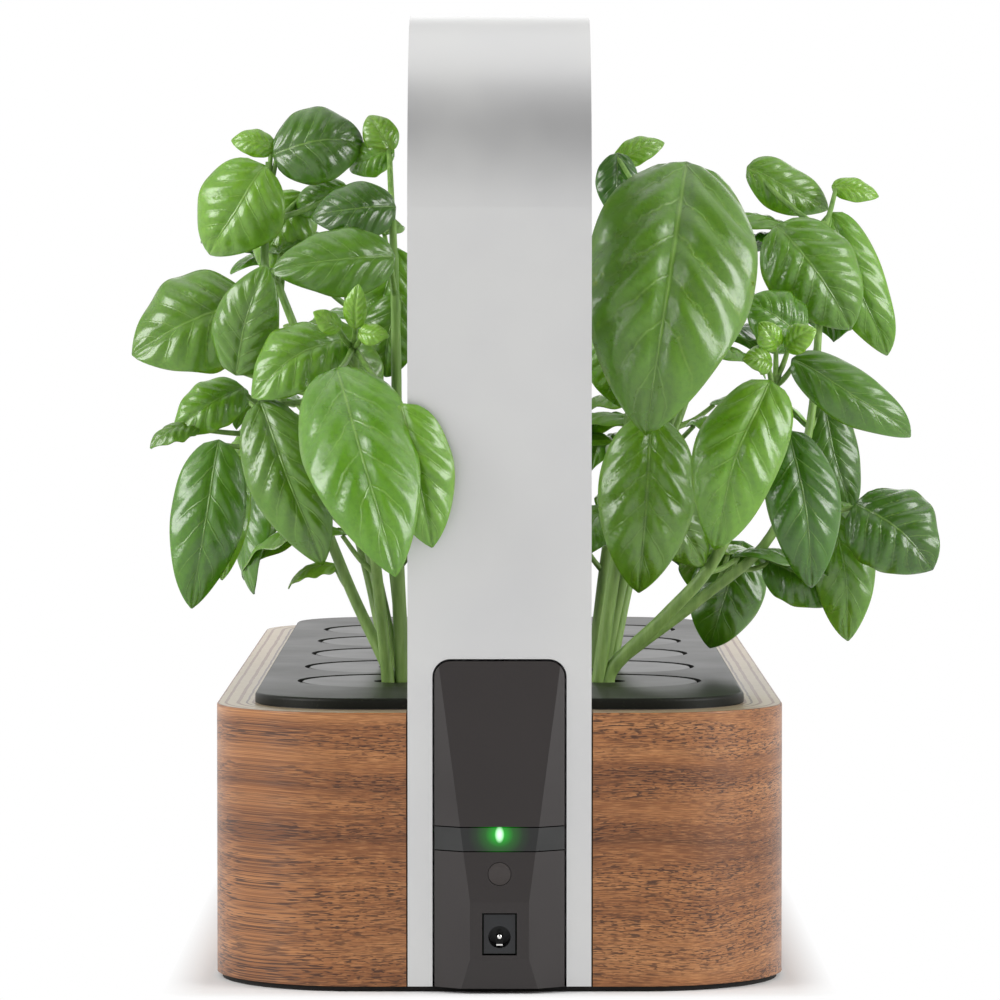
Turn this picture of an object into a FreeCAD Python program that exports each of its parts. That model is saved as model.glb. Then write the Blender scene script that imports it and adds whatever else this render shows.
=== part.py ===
import FreeCAD, Part
import math
import os
from types import SimpleNamespace

import Mesh
import Sketcher

# Countertop hydroponic garden, in millimetres.
# +X is the right side seen from the control panel, +Y runs from the panel end to the far end, +Z is up.
# The origin is the middle of the foot pad's underside.

Vector = FreeCAD.Vector

# Driving dimensions

SIZES = {
    # wood box
    "body_width": 166.0,
    "body_length": 430.0,
    "corner_radius": 42.0,
    "ply_thickness": 12.0,
    "wood_height": 78.7,
    "wood_lip": 5.0,
    "edge_round": 0.5,
    "foot_thickness": 1.6,
    "foot_inset": 1.5,
    # general gaps between pieces
    "fit_gap": 0.3,
    "arch_gap": 0.4,
    # tray and tank
    "tray_floor": 3.0,
    "tray_wall": 2.0,
    "tray_skirt": 25.4,
    "tank_end_room": 5.2,
    "tank_wall": 2.0,
    "tank_floor": 2.5,
    "tank_flange": 2.0,
    # deck lid
    "deck_thickness": 3.0,
    "deck_lap": 0.9,
    "deck_end_gap": 1.3,
    "deck_skirt": 6.0,
    "deck_skirt_wall": 2.0,
    "well_depth": 4.0,
    "well_margin": 32.0,
    # pods
    "pod_pitch": 63.0,
    "pod_columns": 63.0,
    "cover_diameter": 56.4,
    "cover_thickness": 2.2,
    "cover_ring_gap": 1.3,
    "cover_sink": 0.2,
    "cover_round": 0.5,
    "stem_hole": 13.0,
    "seat_bore": 50.0,
    "cup_top": 48.0,
    "cup_bottom": 36.0,
    "cup_wall": 1.5,
    "cup_flange": 53.4,
    "cup_flange_thickness": 1.6,
    "cup_depth": 38.9,
    "cup_slot": 4.0,
    "plug_drop": 2.9,
    # arch
    "arch_width": 52.7,
    "arch_height": 281.9,
    "arch_thickness": 13.5,
    "arch_bend": 57.0,
    "arch_skin": 2.0,
    "liner_thickness": 2.0,
    # grow light
    "light_length": 240.0,
    "light_width": 36.0,
    "heat_plate": 3.0,
    "light_board": 1.6,
    "chip_side": 3.0,
    "chip_height": 0.8,
    "diffuser_lip": 2.0,
    "wire_diameter": 2.6,
    "wire_depth": 7.4,
    # control panel
    "panel_half_width": 18.64,
    "panel_height": 93.5,
    "panel_corner": 4.6,
    "panel_gap": 0.6,
    "panel_wall": 1.6,
    "panel_depth": 3.0,
    "window_low": 40.8,
    "window_high": 48.0,
    "button_height": 34.6,
    "button_diameter": 6.4,
    "button_gap": 0.15,
    "button_travel": 0.8,
    "button_dish": 0.3,
    "button_dish_radius": 16.0,
    "socket_height": 16.5,
    "socket_width": 9.0,
    "socket_face": 11.2,
    "socket_rise": 0.9,
    "socket_hole": 6.4,
    "socket_bore_depth": 10.0,
    "socket_pin": 2.0,
    "socket_margin": 0.45,
    "socket_recess": 0.8,
    # control board
    "board_half_width": 17.0,
    "board_low": 8.0,
    "board_high": 62.0,
    "board_thickness": 1.6,
    "board_standoff": 1.9,
    # fasteners
    "screw_radius": 1.25,
    "screw_head": 2.3,
    "screw_head_height": 1.5,
    "screw_play": 0.15,
    # pump
    "pump_width": 40.0,
    "pump_length": 34.0,
    "pump_height": 30.0,
    "pump_wall_gap": 8.0,
    "chamber_radius": 12.5,
    "chamber_depth": 11.0,
    "impeller_radius": 11.0,
    "impeller_length": 8.0,
    "pump_shaft": 3.0,
    "pump_cover": 3.0,
    "inlet_radius": 4.0,
    "nozzle_radius": 4.0,
    "nozzle_bore": 2.5,
    "nozzle_length": 8.0,
    "hose_wall": 1.5,
    "hose_bend": 16.0,
    # water level float
    "float_post": 4.0,
    "float_diameter": 20.0,
    "float_height": 10.0,
    "float_play": 0.3,
    "float_travel": 36.0,
}

ROWS = 5
PLANTED_ROWS = 2
SIDES = {"left": -1, "right": 1}


class Size:
    """A length that keeps the sheet formula it comes from beside its value."""

    def __init__(self, value, formula):
        self.value = float(value)
        self.formula = formula

    def __add__(self, other):
        other = as_size(other)
        return Size(self.value + other.value, f"({self.formula} + {other.formula})")

    def __radd__(self, other):
        return as_size(other) + self

    def __sub__(self, other):
        other = as_size(other)
        return Size(self.value - other.value, f"({self.formula} - {other.formula})")

    def __rsub__(self, other):
        return as_size(other) - self

    def __mul__(self, other):
        other = as_size(other)
        return Size(self.value * other.value, f"({self.formula} * {other.formula})")

    def __rmul__(self, other):
        return as_size(other) * self

    def __truediv__(self, other):
        other = as_size(other)
        return Size(self.value / other.value, f"({self.formula} / {other.formula})")

    def __neg__(self):
        return Size(-self.value, f"(0 - {self.formula})")


def as_size(item):
    return item if isinstance(item, Size) else Size(item, f"({float(item)!r})")


doc = FreeCAD.newDocument("garden")
sheet = doc.addObject("Spreadsheet::Sheet", "sizes")
for line_number, (alias, number) in enumerate(SIZES.items(), start=1):
    sheet.set(f"A{line_number}", alias)
    sheet.set(f"B{line_number}", str(number))
    sheet.setAlias(f"B{line_number}", alias)
doc.recompute()

s = SimpleNamespace(**{alias: Size(number, "sizes." + alias) for alias, number in SIZES.items()})
nodes = {}

# Places that several pieces share

half_width = s.body_width / 2
half_length = s.body_length / 2
foot_top = s.foot_thickness
rim = foot_top + s.wood_height
wall_x = half_width - s.ply_thickness
inner_corner = s.corner_radius - s.ply_thickness
front = -half_length
arch_half = s.arch_width / 2
leg_inner = half_length - s.arch_thickness
tray_x = wall_x - s.fit_gap
tray_y = leg_inner - s.fit_gap
tray_corner = inner_corner - s.fit_gap
tray_top = foot_top + s.tray_floor
tank_x = tray_x - s.tray_wall - s.fit_gap
tank_y = tray_y - s.tank_end_room
tank_corner = tray_corner - s.tray_wall - s.fit_gap
tank_inside_floor = tray_top + s.tank_floor
deck_top = rim + s.deck_thickness
cover_low = deck_top - s.cover_thickness - s.cover_sink
flange_low = cover_low - s.cup_flange_thickness
cup_rim = flange_low + s.cup_flange_thickness
plug_top = cup_rim - s.plug_drop
well_low = rim - s.well_depth
column_x = s.pod_columns / 2
panel_low = foot_top
panel_high = panel_low + s.panel_height
liner_front = -(leg_inner + s.liner_thickness)
board_back = liner_front - s.board_standoff
board_front = board_back - s.board_thickness
skin_under = s.arch_height - s.arch_skin
arch_under = s.arch_height - s.arch_thickness
light_half = s.light_length / 2
board_under = skin_under - s.heat_plate - s.light_board


# Helpers that bind each size to the sheet

def bind(thing, path, size):
    thing.setExpression(path, as_size(size).formula)


def place(thing, x=0, y=0, z=0):
    bind(thing, "Placement.Base.x", x)
    bind(thing, "Placement.Base.y", y)
    bind(thing, "Placement.Base.z", z)


def keep(name, thing):
    """Register a finished sub-part under its node name."""
    thing.Label = name
    nodes[name] = thing
    return thing


def new_body(name):
    return doc.addObject("PartDesign::Body", name)


def new_sketch(body, name, plane="XY_Plane", offset=0):
    sketch = body.newObject("Sketcher::SketchObject", name)
    base = [item for item in body.Origin.OriginFeatures if item.Role == plane][0]
    sketch.AttachmentSupport = [(base, "")]
    sketch.MapMode = "FlatFace"
    bind(sketch, "AttachmentOffset.Base.z", offset)
    return sketch


def dimension(sketch, kind, geometry, point, size):
    """Add one driving dimension to a sketch and bind it to the sheet."""
    size = as_size(size)
    where = (geometry, size.value) if point is None else (geometry, point, size.value)
    index = sketch.addConstraint(Sketcher.Constraint(kind, *where))
    name = f"{kind}_{index}"
    sketch.renameConstraint(index, name)
    sketch.setExpression("Constraints." + name, size.formula)


def direction(start, end):
    along = Vector(end[0].value - start[0].value, end[1].value - start[1].value, 0)
    return along.normalize()


def shifted(point, along, amount):
    return (point[0] + amount * round(along.x, 9), point[1] + amount * round(along.y, 9))


def at(point):
    return Vector(point[0].value, point[1].value, 0)


def outline(sketch, corners):
    """Closed outline through corners (x, y) or (x, y, radius); a rounded corner is a right angle."""
    points = [(as_size(corner[0]), as_size(corner[1])) for corner in corners]
    radii = [as_size(corner[2]) if len(corner) > 2 else None for corner in corners]
    count = len(points)
    entries = []
    exits = []
    for k in range(count):
        if radii[k] is None:
            entries.append(points[k])
            exits.append(points[k])
            continue
        before = direction(points[k - 1], points[k])
        after = direction(points[k], points[(k + 1) % count])
        entries.append(shifted(points[k], before, -radii[k]))
        exits.append(shifted(points[k], after, radii[k]))
    lines = []
    for k in range(count):
        start = exits[k]
        end = entries[(k + 1) % count]
        line = sketch.addGeometry(Part.LineSegment(at(start), at(end)))
        lines.append(line)
        for which, point in ((1, start), (2, end)):
            dimension(sketch, "DistanceX", line, which, point[0])
            dimension(sketch, "DistanceY", line, which, point[1])
    for k in range(count):
        if radii[k] is not None:
            round_corner(sketch, points, entries[k], exits[k], radii[k], lines, k)


def round_corner(sketch, points, entry, leave, radius, lines, k):
    """Join two outline lines with an arc of the given radius."""
    count = len(points)
    before = direction(points[k - 1], points[k])
    after = direction(points[k], points[(k + 1) % count])
    centre = at(entry) + after * radius.value
    first = at(entry) - centre
    last = at(leave) - centre
    turns_left = before.cross(after).z > 0
    if not turns_left:
        first, last = last, first
    start = math.atan2(first.y, first.x)
    end = math.atan2(last.y, last.x)
    circle = Part.Circle(centre, Vector(0, 0, 1), radius.value)
    arc = sketch.addGeometry(Part.ArcOfCircle(circle, start, end))
    entry_end, leave_end = (1, 2) if turns_left else (2, 1)
    sketch.addConstraint(Sketcher.Constraint("Coincident", arc, entry_end, lines[k - 1], 2))
    sketch.addConstraint(Sketcher.Constraint("Coincident", arc, leave_end, lines[k], 1))
    dimension(sketch, "Radius", arc, None, radius)


def rounded_rectangle(sketch, half_x, half_y, radius, centre=(0, 0)):
    x, y = as_size(centre[0]), as_size(centre[1])
    outline(sketch, [
        (x + half_x, y - half_y, radius),
        (x + half_x, y + half_y, radius),
        (x - half_x, y + half_y, radius),
        (x - half_x, y - half_y, radius),
    ])


def rectangle(sketch, low_x, high_x, low_y, high_y):
    outline(sketch, [(low_x, low_y), (high_x, low_y), (high_x, high_y), (low_x, high_y)])


def circle(sketch, x, y, radius):
    x, y, radius = as_size(x), as_size(y), as_size(radius)
    geometry = sketch.addGeometry(Part.Circle(at((x, y)), Vector(0, 0, 1), radius.value))
    dimension(sketch, "DistanceX", geometry, 3, x)
    dimension(sketch, "DistanceY", geometry, 3, y)
    dimension(sketch, "Radius", geometry, None, radius)


def grow(body, sketch, length, symmetric=False, reverse=False):
    """Pad a sketch."""
    pad = body.newObject("PartDesign::Pad", sketch.Name + "_pad")
    pad.Profile = sketch
    pad.SideType = "Symmetric" if symmetric else "One side"
    pad.Reversed = reverse
    bind(pad, "Length", length)
    return pad


def carve(body, sketch, length, symmetric=False, reverse=False):
    """Pocket a sketch and check that it removed something."""
    doc.recompute()
    before = body.Shape.Volume
    pocket = body.newObject("PartDesign::Pocket", sketch.Name + "_pocket")
    pocket.Profile = sketch
    pocket.SideType = "Symmetric" if symmetric else "One side"
    pocket.Reversed = reverse
    bind(pocket, "Length", length)
    doc.recompute()
    if body.Shape.Volume >= before - 1e-6:
        raise RuntimeError(f"{pocket.Name} removed nothing")
    return pocket


def is_top_edge(edge, height, clear_x):
    """True for an edge at a height whose middle lies further from the middle plane than clear_x."""
    flat = all(abs(vertex.Z - height.value) < 1e-6 for vertex in edge.Vertexes)
    middle = edge.valueAt((edge.FirstParameter + edge.LastParameter) / 2)
    return flat and len(edge.Vertexes) > 1 and abs(middle.x) > clear_x.value + 1e-6


def is_round_edge(edge, height, radius):
    """True for a circle of a radius that lies at a height."""
    if not isinstance(edge.Curve, Part.Circle):
        return False
    return abs(edge.Curve.Center.z - height.value) < 1e-6 and abs(edge.Curve.Radius - radius.value) < 1e-6


def round_edges(body, name, radius, wanted):
    doc.recompute()
    edges = [f"Edge{number}" for number, edge in enumerate(body.Shape.Edges, start=1) if wanted(edge)]
    finished = body.Tip
    rounding = body.newObject("PartDesign::Fillet", name)
    rounding.Base = (finished, edges)
    bind(rounding, "Radius", radius)
    doc.recompute()
    return rounding


def block(name, x, y, z):
    """Box between low and high values along each axis."""
    box = doc.addObject("Part::Box", name)
    bind(box, "Length", as_size(x[1]) - x[0])
    bind(box, "Width", as_size(y[1]) - y[0])
    bind(box, "Height", as_size(z[1]) - z[0])
    place(box, x[0], y[0], z[0])
    return box


TURNS = {
    "X": FreeCAD.Rotation(Vector(0, 1, 0), 90),
    "Y": FreeCAD.Rotation(Vector(1, 0, 0), -90),
    "Z": FreeCAD.Rotation(),
}


def rod(name, radius, length, start, axis="Z"):
    """Cylinder from start along +axis."""
    cylinder = doc.addObject("Part::Cylinder", name)
    cylinder.Placement = FreeCAD.Placement(Vector(), TURNS[axis])
    bind(cylinder, "Radius", radius)
    bind(cylinder, "Height", length)
    place(cylinder, *start)
    return cylinder


def ball(name, radius, centre):
    sphere = doc.addObject("Part::Sphere", name)
    bind(sphere, "Radius", radius)
    place(sphere, *centre)
    return sphere


def joined(name, pieces):
    fused = doc.addObject("Part::MultiFuse", name)
    fused.Shapes = pieces
    return fused


def grouped(name, pieces):
    group = doc.addObject("Part::Compound", name)
    group.Links = pieces
    return group


def minus(name, base, tool):
    result = doc.addObject("Part::Cut", name)
    result.Base = base
    result.Tool = tool
    return result


def shared(name, base, tool):
    result = doc.addObject("Part::Common", name)
    result.Base = base
    result.Tool = tool
    return result


# Wood box and foot

def make_foot_pad():
    body = new_body("foot_pad")
    sketch = new_sketch(body, "foot_outline")
    rounded_rectangle(
        sketch,
        half_width - s.foot_inset,
        half_length - s.foot_inset,
        s.corner_radius - s.foot_inset,
    )
    grow(body, sketch, s.foot_thickness)
    keep("foot_pad", body)


def wood_outline(sketch, side, outer_inset, inner_inset):
    """C-shaped band on one side, from the front of the arch round to its rear leg."""
    outer_x = side * (half_width - outer_inset)
    inner_x = side * (half_width - inner_inset)
    outer_y = half_length - outer_inset
    inner_y = half_length - inner_inset
    near_x = side * (arch_half + s.arch_gap)
    outline(sketch, [
        (near_x, -outer_y),
        (outer_x, -outer_y, s.corner_radius - outer_inset),
        (outer_x, outer_y, s.corner_radius - outer_inset),
        (near_x, outer_y),
        (near_x, inner_y),
        (inner_x, inner_y, s.corner_radius - inner_inset),
        (inner_x, -inner_y, s.corner_radius - inner_inset),
        (near_x, -inner_y),
    ])


SCREW_ROWS = (-120.0, 0.0, 120.0)
wood_screw_x = half_width - (s.wood_lip + s.ply_thickness) / 2 - 0.2
wood_screw_reach = 9.0


def make_wood_shell(name, side):
    body = new_body(name)
    profile = new_sketch(body, name + "_outline", offset=foot_top)
    wood_outline(profile, side, as_size(0), s.ply_thickness)
    grow(body, profile, s.wood_height)
    rebate = new_sketch(body, name + "_rebate", offset=foot_top)
    wood_outline(rebate, side, s.wood_lip, s.ply_thickness + 1)
    carve(body, rebate, s.tray_floor, reverse=True)
    holes = new_sketch(body, name + "_holes", offset=tray_top)
    for row in SCREW_ROWS:
        circle(holes, side * wood_screw_x, row, s.screw_radius + 0.05)
    carve(body, holes, wood_screw_reach + 1, reverse=True)
    round_edges(body, name + "_rounding", s.edge_round, lambda edge: is_top_edge(edge, rim, arch_half + s.arch_gap))
    keep(name, body)


# Tray, tank and deck

arch_screw_x = arch_half - 4.85
arch_screw_z = as_size(20)


def make_base_tray():
    body = new_body("base_tray")
    lip = s.wood_lip + s.fit_gap
    floor = new_sketch(body, "tray_floor_outline", offset=foot_top)
    rounded_rectangle(floor, half_width - lip, half_length - lip, s.corner_radius - lip)
    grow(body, floor, s.tray_floor)
    skirt = new_sketch(body, "tray_skirt_outline", offset=tray_top)
    rounded_rectangle(skirt, tray_x, tray_y, tray_corner)
    grow(body, skirt, s.tray_skirt)
    hollow = new_sketch(body, "tray_hollow", offset=tray_top + s.tray_skirt)
    rounded_rectangle(hollow, tray_x - s.tray_wall, tray_y - s.tray_wall, tray_corner - s.tray_wall)
    carve(body, hollow, s.tray_skirt)
    notch_half = arch_half + s.arch_gap
    for end_name, end in (("front", -1), ("rear", 1)):
        notch = new_sketch(body, f"tray_{end_name}_notch", offset=tray_top)
        near, far = sorted((end * tray_y, end * half_length), key=lambda size: size.value)
        rectangle(notch, -notch_half, notch_half, near, far)
        carve(body, notch, s.tray_floor)
    screws = new_sketch(body, "tray_screw_holes", offset=tray_top)
    heads = new_sketch(body, "tray_screw_heads", offset=foot_top)
    for side in SIDES.values():
        for row in SCREW_ROWS:
            circle(screws, side * wood_screw_x, row, s.screw_radius + s.screw_play)
            circle(heads, side * wood_screw_x, row, s.screw_head + s.screw_play)
    carve(body, screws, s.tray_floor)
    carve(body, heads, s.screw_head_height, reverse=True)
    arch_holes = new_sketch(body, "tray_arch_holes", plane="XZ_Plane")
    for side in SIDES.values():
        circle(arch_holes, side * arch_screw_x, arch_screw_z, s.screw_radius + s.screw_play)
    carve(body, arch_holes, s.body_length, symmetric=True)
    keep("base_tray", body)


def make_tank():
    body = new_body("reservoir_tank")
    shell = new_sketch(body, "tank_outline", offset=tray_top)
    rounded_rectangle(shell, tank_x, tank_y, tank_corner)
    grow(body, shell, rim - s.tank_flange - tray_top)
    flange = new_sketch(body, "tank_flange_outline", offset=rim - s.tank_flange)
    rounded_rectangle(flange, tray_x, tray_y, tray_corner)
    grow(body, flange, s.tank_flange)
    hollow = new_sketch(body, "tank_hollow", offset=rim)
    rounded_rectangle(hollow, tank_x - s.tank_wall, tank_y - s.tank_wall, tank_corner - s.tank_wall)
    carve(body, hollow, rim - tank_inside_floor)
    keep("reservoir_tank", body)


def pod_places(first_row=0, last_row=ROWS):
    """Side name, row number from 1 and centre of each pod."""
    for side_name, side in SIDES.items():
        for row in range(first_row, last_row):
            yield side_name, row + 1, side * column_x, (row - (ROWS - 1) / 2) * s.pod_pitch


deck_x = wall_x + s.deck_lap
deck_y = leg_inner - s.deck_end_gap
deck_corner = inner_corner
skirt_x = tank_x - s.tank_wall - 2 * s.fit_gap
skirt_y = tank_y - s.tank_wall - 2 * s.fit_gap
skirt_corner = tank_corner - s.tank_wall - 2 * s.fit_gap


def make_deck():
    body = new_body("grow_deck")
    plate = new_sketch(body, "deck_outline", offset=rim)
    rounded_rectangle(plate, deck_x, deck_y, deck_corner)
    grow(body, plate, s.deck_thickness)
    skirt = new_sketch(body, "deck_skirt_outline", offset=rim)
    rounded_rectangle(skirt, skirt_x, skirt_y, skirt_corner)
    grow(body, skirt, s.deck_skirt, reverse=True)
    hollow = new_sketch(body, "deck_skirt_hollow", offset=rim - s.deck_skirt)
    rounded_rectangle(
        hollow,
        skirt_x - s.deck_skirt_wall,
        skirt_y - s.deck_skirt_wall,
        skirt_corner - s.deck_skirt_wall,
    )
    carve(body, hollow, s.deck_skirt, reverse=True)
    wells = new_sketch(body, "deck_well_block", offset=rim)
    rounded_rectangle(
        wells,
        column_x + s.well_margin - 1,
        (ROWS - 1) / 2 * s.pod_pitch + s.well_margin,
        s.well_margin - 2,
    )
    grow(body, wells, s.well_depth, reverse=True)
    recess = new_sketch(body, "deck_cover_recess", offset=deck_top)
    seat = new_sketch(body, "deck_cup_seat", offset=deck_top)
    bore = new_sketch(body, "deck_bore", offset=deck_top)
    for _, _, x, y in pod_places():
        circle(recess, x, y, s.cover_diameter / 2 + s.cover_ring_gap)
        circle(seat, x, y, s.cup_flange / 2 + s.fit_gap)
        circle(bore, x, y, s.seat_bore / 2)
    carve(body, recess, deck_top - cover_low)
    carve(body, seat, deck_top - flange_low)
    carve(body, bore, deck_top - well_low + 1)
    outermost = deck_x - deck_corner
    round_edges(body, "deck_rounding", 2 * s.edge_round, lambda edge: is_top_edge(edge, deck_top, outermost))
    keep("grow_deck", body)


def make_cover(name, x, y):
    body = new_body(name)
    sketch = new_sketch(body, name + "_outline", offset=cover_low)
    circle(sketch, 0, 0, s.cover_diameter / 2)
    circle(sketch, 0, 0, s.stem_hole / 2)
    grow(body, sketch, s.cover_thickness)
    top = cover_low + s.cover_thickness
    round_edges(body, name + "_rounding", s.cover_round, lambda edge: is_round_edge(edge, top, s.cover_diameter / 2))
    place(body, x, y)
    keep(name, body)


def make_cup(name, x, y):
    """Net cup: tapered wall with slots, flange on the deck's seat."""
    body = new_body(name)
    bottom = cup_rim - s.cup_depth
    profile = new_sketch(body, name + "_profile", plane="XZ_Plane")
    points = [
        (as_size(0), bottom),
        (s.cup_bottom / 2, bottom),
        (s.cup_top / 2, flange_low),
        (s.cup_flange / 2, flange_low),
        (s.cup_flange / 2, cup_rim),
        (s.cup_top / 2 - s.cup_wall, cup_rim),
        (s.cup_bottom / 2 - s.cup_wall, bottom + s.cup_wall),
        (as_size(0), bottom + s.cup_wall),
    ]
    outline(profile, points)
    turned = body.newObject("PartDesign::Revolution", name + "_turned")
    turned.Profile = profile
    turned.ReferenceAxis = (profile, ["V_Axis"])
    turned.Angle = 360
    slots = new_sketch(body, name + "_slots", plane="XZ_Plane")
    rectangle(slots, -s.cup_slot / 2, s.cup_slot / 2, bottom + 3 * s.cup_wall, flange_low - 3 * s.cup_wall)
    slot = carve(body, slots, s.cup_flange, symmetric=True)
    pattern = body.newObject("PartDesign::PolarPattern", name + "_slot_pattern")
    pattern.Originals = [slot]
    pattern.Axis = (profile, ["V_Axis"])
    pattern.Angle = 180
    pattern.Occurrences = 5
    body.Tip = pattern
    place(body, x, y)
    keep(name, body)


def make_plugs():
    """Grow plugs that fill the cups."""
    plugs = []
    floor = cup_rim - s.cup_depth + s.cup_wall
    slope = (s.cup_top - s.cup_bottom) / 2 / (flange_low - (cup_rim - s.cup_depth))
    for side_name, row, x, y in pod_places(0, PLANTED_ROWS):
        plug = doc.addObject("Part::Cone", f"plug_{side_name}_{row}")
        low_radius = s.cup_bottom / 2 - s.cup_wall - s.fit_gap
        bind(plug, "Radius1", low_radius)
        bind(plug, "Radius2", low_radius + slope * (plug_top - floor))
        bind(plug, "Height", plug_top - floor)
        place(plug, x, y, floor)
        plugs.append(plug)
    keep("grow_plugs", grouped("grow_plugs", plugs))


# Arch and its light

arch_boss = as_size(6.0)
board_screw_x = (-(s.board_half_width - 3), s.board_half_width - 3)
board_screw_z = (s.board_low + 3, s.board_high - 3)
window_half = s.light_width / 2 - 1
window_length = light_half - 1


def band_outline(sketch, outer, inner, low):
    """U-shaped band seen from the side, between two depths below the arch's outer face."""
    side_out = half_length - outer
    side_in = half_length - inner
    top_out = s.arch_height - outer
    top_in = s.arch_height - inner
    outline(sketch, [
        (-side_out, low),
        (-side_out, top_out, s.arch_bend - outer),
        (side_out, top_out, s.arch_bend - outer),
        (side_out, low),
        (side_in, low),
        (side_in, top_in, s.arch_bend - inner),
        (-side_in, top_in, s.arch_bend - inner),
        (-side_in, low),
    ])


def make_arch_shell():
    body = new_body("arch_shell")
    band = new_sketch(body, "arch_band", plane="YZ_Plane")
    band_outline(band, as_size(0), s.arch_thickness, foot_top)
    grow(body, band, s.arch_width, symmetric=True)
    channel = new_sketch(body, "arch_channel", plane="YZ_Plane")
    band_outline(channel, s.arch_skin, s.arch_thickness + 1, foot_top - 1)
    carve(body, channel, s.arch_width - 2 * s.arch_skin, symmetric=True)
    opening = new_sketch(body, "arch_panel_opening", plane="XZ_Plane", offset=half_length + 1)
    wide = s.panel_half_width + s.panel_gap
    outline(opening, [
        (-wide, foot_top - 1),
        (wide, foot_top - 1),
        (wide, panel_high + s.panel_gap, s.panel_corner + s.panel_gap),
        (-wide, panel_high + s.panel_gap, s.panel_corner + s.panel_gap),
    ])
    carve(body, opening, s.arch_skin + 2)
    keep("arch_shell", body)


def make_arch_liner():
    """Inner cover of the arch, with standoffs for the control board and bosses for the screws."""
    body = new_body("liner_body")
    band = new_sketch(body, "liner_band", plane="YZ_Plane")
    band_outline(band, s.arch_thickness - s.liner_thickness, s.arch_thickness, foot_top)
    inner_half = arch_half - s.arch_skin - s.fit_gap
    grow(body, band, 2 * inner_half, symmetric=True)
    window = new_sketch(body, "liner_window", offset=arch_under + s.liner_thickness + 1)
    rectangle(window, -window_half, window_half, -window_length, window_length)
    carve(body, window, s.liner_thickness + 2)
    extras = []
    for x in board_screw_x:
        for z in board_screw_z:
            name = f"standoff_{len(extras)}"
            extras.append(rod(name, 2.2, s.board_standoff, (x, board_back, z), "Y"))
    for end_name, end in (("front", -1), ("rear", 1)):
        for side in SIDES.values():
            y = liner_front - arch_boss if end < 0 else -liner_front
            extras.append(rod(f"boss_{end_name}_{side}", 2.4, arch_boss, (side * arch_screw_x, y, arch_screw_z), "Y"))
    solid = joined("liner_solid", [body] + extras)
    drills = []
    for x in board_screw_x:
        for z in board_screw_z:
            drills.append(rod(f"board_drill_{len(drills)}", 0.9, 3.4, (x, board_back, z), "Y"))
    for side in SIDES.values():
        drills.append(rod(
            f"arch_drill_{side}", s.screw_radius + 0.05, s.body_length,
            (side * arch_screw_x, front, arch_screw_z), "Y",
        ))
    keep("arch_liner", minus("arch_liner", solid, grouped("liner_drills", drills)))


def make_light():
    keep("heat_plate", block(
        "heat_plate",
        (-s.light_width / 2, s.light_width / 2),
        (-light_half + 2, light_half - 2),
        (skin_under - s.heat_plate, skin_under),
    ))
    keep("light_board", block(
        "light_board",
        (-s.light_width / 2, s.light_width / 2),
        (-light_half, light_half),
        (board_under, board_under + s.light_board),
    ))
    chips = []
    chip_pitch = s.light_length / 12
    for side in SIDES.values():
        for place_number in range(12):
            x = side * s.light_width / 4
            y = (place_number - 5.5) * chip_pitch
            chips.append(block(
                f"chip_{len(chips)}",
                (x - s.chip_side / 2, x + s.chip_side / 2),
                (y - s.chip_side / 2, y + s.chip_side / 2),
                (board_under - s.chip_height, board_under),
            ))
    keep("light_chips", grouped("light_chips", chips))
    lens_half = window_half - s.fit_gap
    lens_length = window_length - s.fit_gap
    lens = block(
        "diffuser_lens",
        (-lens_half, lens_half),
        (-lens_length, lens_length),
        (arch_under, arch_under + s.liner_thickness),
    )
    lip = block(
        "diffuser_rim",
        (-lens_half - s.diffuser_lip, lens_half + s.diffuser_lip),
        (-lens_length - s.diffuser_lip, lens_length + s.diffuser_lip),
        (arch_under + s.liner_thickness, arch_under + s.liner_thickness + 1),
    )
    keep("light_diffuser", joined("light_diffuser", [lens, lip]))


def make_wiring():
    """Cable from the top of the control board, up the leg and round the bend to the light board."""
    body = new_body("light_wiring")
    leg_y = -(half_length - s.wire_depth)
    top_z = s.arch_height - s.wire_depth
    bend = s.arch_bend - s.wire_depth
    path = new_sketch(body, "wiring_path", plane="YZ_Plane")
    rise = path.addGeometry(Part.LineSegment(at((leg_y, s.board_high)), at((leg_y, top_z - bend))))
    run = path.addGeometry(Part.LineSegment(at((leg_y + bend, top_z)), at((-light_half, top_z))))
    for line, ends in (
        (rise, ((leg_y, s.board_high), (leg_y, top_z - bend))),
        (run, ((leg_y + bend, top_z), (-light_half, top_z))),
    ):
        for which, point in enumerate(ends, start=1):
            dimension(path, "DistanceX", line, which, point[0])
            dimension(path, "DistanceY", line, which, point[1])
    centre = at((leg_y + bend, top_z - bend))
    turn = Part.ArcOfCircle(Part.Circle(centre, Vector(0, 0, 1), bend.value), math.pi / 2, math.pi)
    arc = path.addGeometry(turn)
    path.addConstraint(Sketcher.Constraint("Coincident", arc, 1, run, 1))
    path.addConstraint(Sketcher.Constraint("Coincident", arc, 2, rise, 2))
    dimension(path, "Radius", arc, None, bend)
    section = new_sketch(body, "wiring_section", offset=s.board_high)
    circle(section, 0, leg_y, s.wire_diameter / 2)
    pipe = body.newObject("PartDesign::AdditivePipe", "wiring_pipe")
    pipe.Profile = section
    pipe.Spine = (path, ["Edge1", "Edge2", "Edge3"])
    keep("light_wiring", body)


# Control panel

RIDGE = (
    # height above the panel's foot, inset of the ridge from the panel's edge
    (0.0, 7.7),
    (8.6, 10.2),
    (25.0, 10.2),
    (85.0, 2.2),
    (93.5, 1.1),
)
ridge_slope = 0.67


def ridge_inset(height):
    """Inset of the panel's ridge line at a height above the panel's foot."""
    for (low, low_inset), (high, high_inset) in zip(RIDGE, RIDGE[1:]):
        if height <= high:
            return low_inset + (high_inset - low_inset) * (height - low) / (high - low)
    return RIDGE[-1][1]


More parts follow.
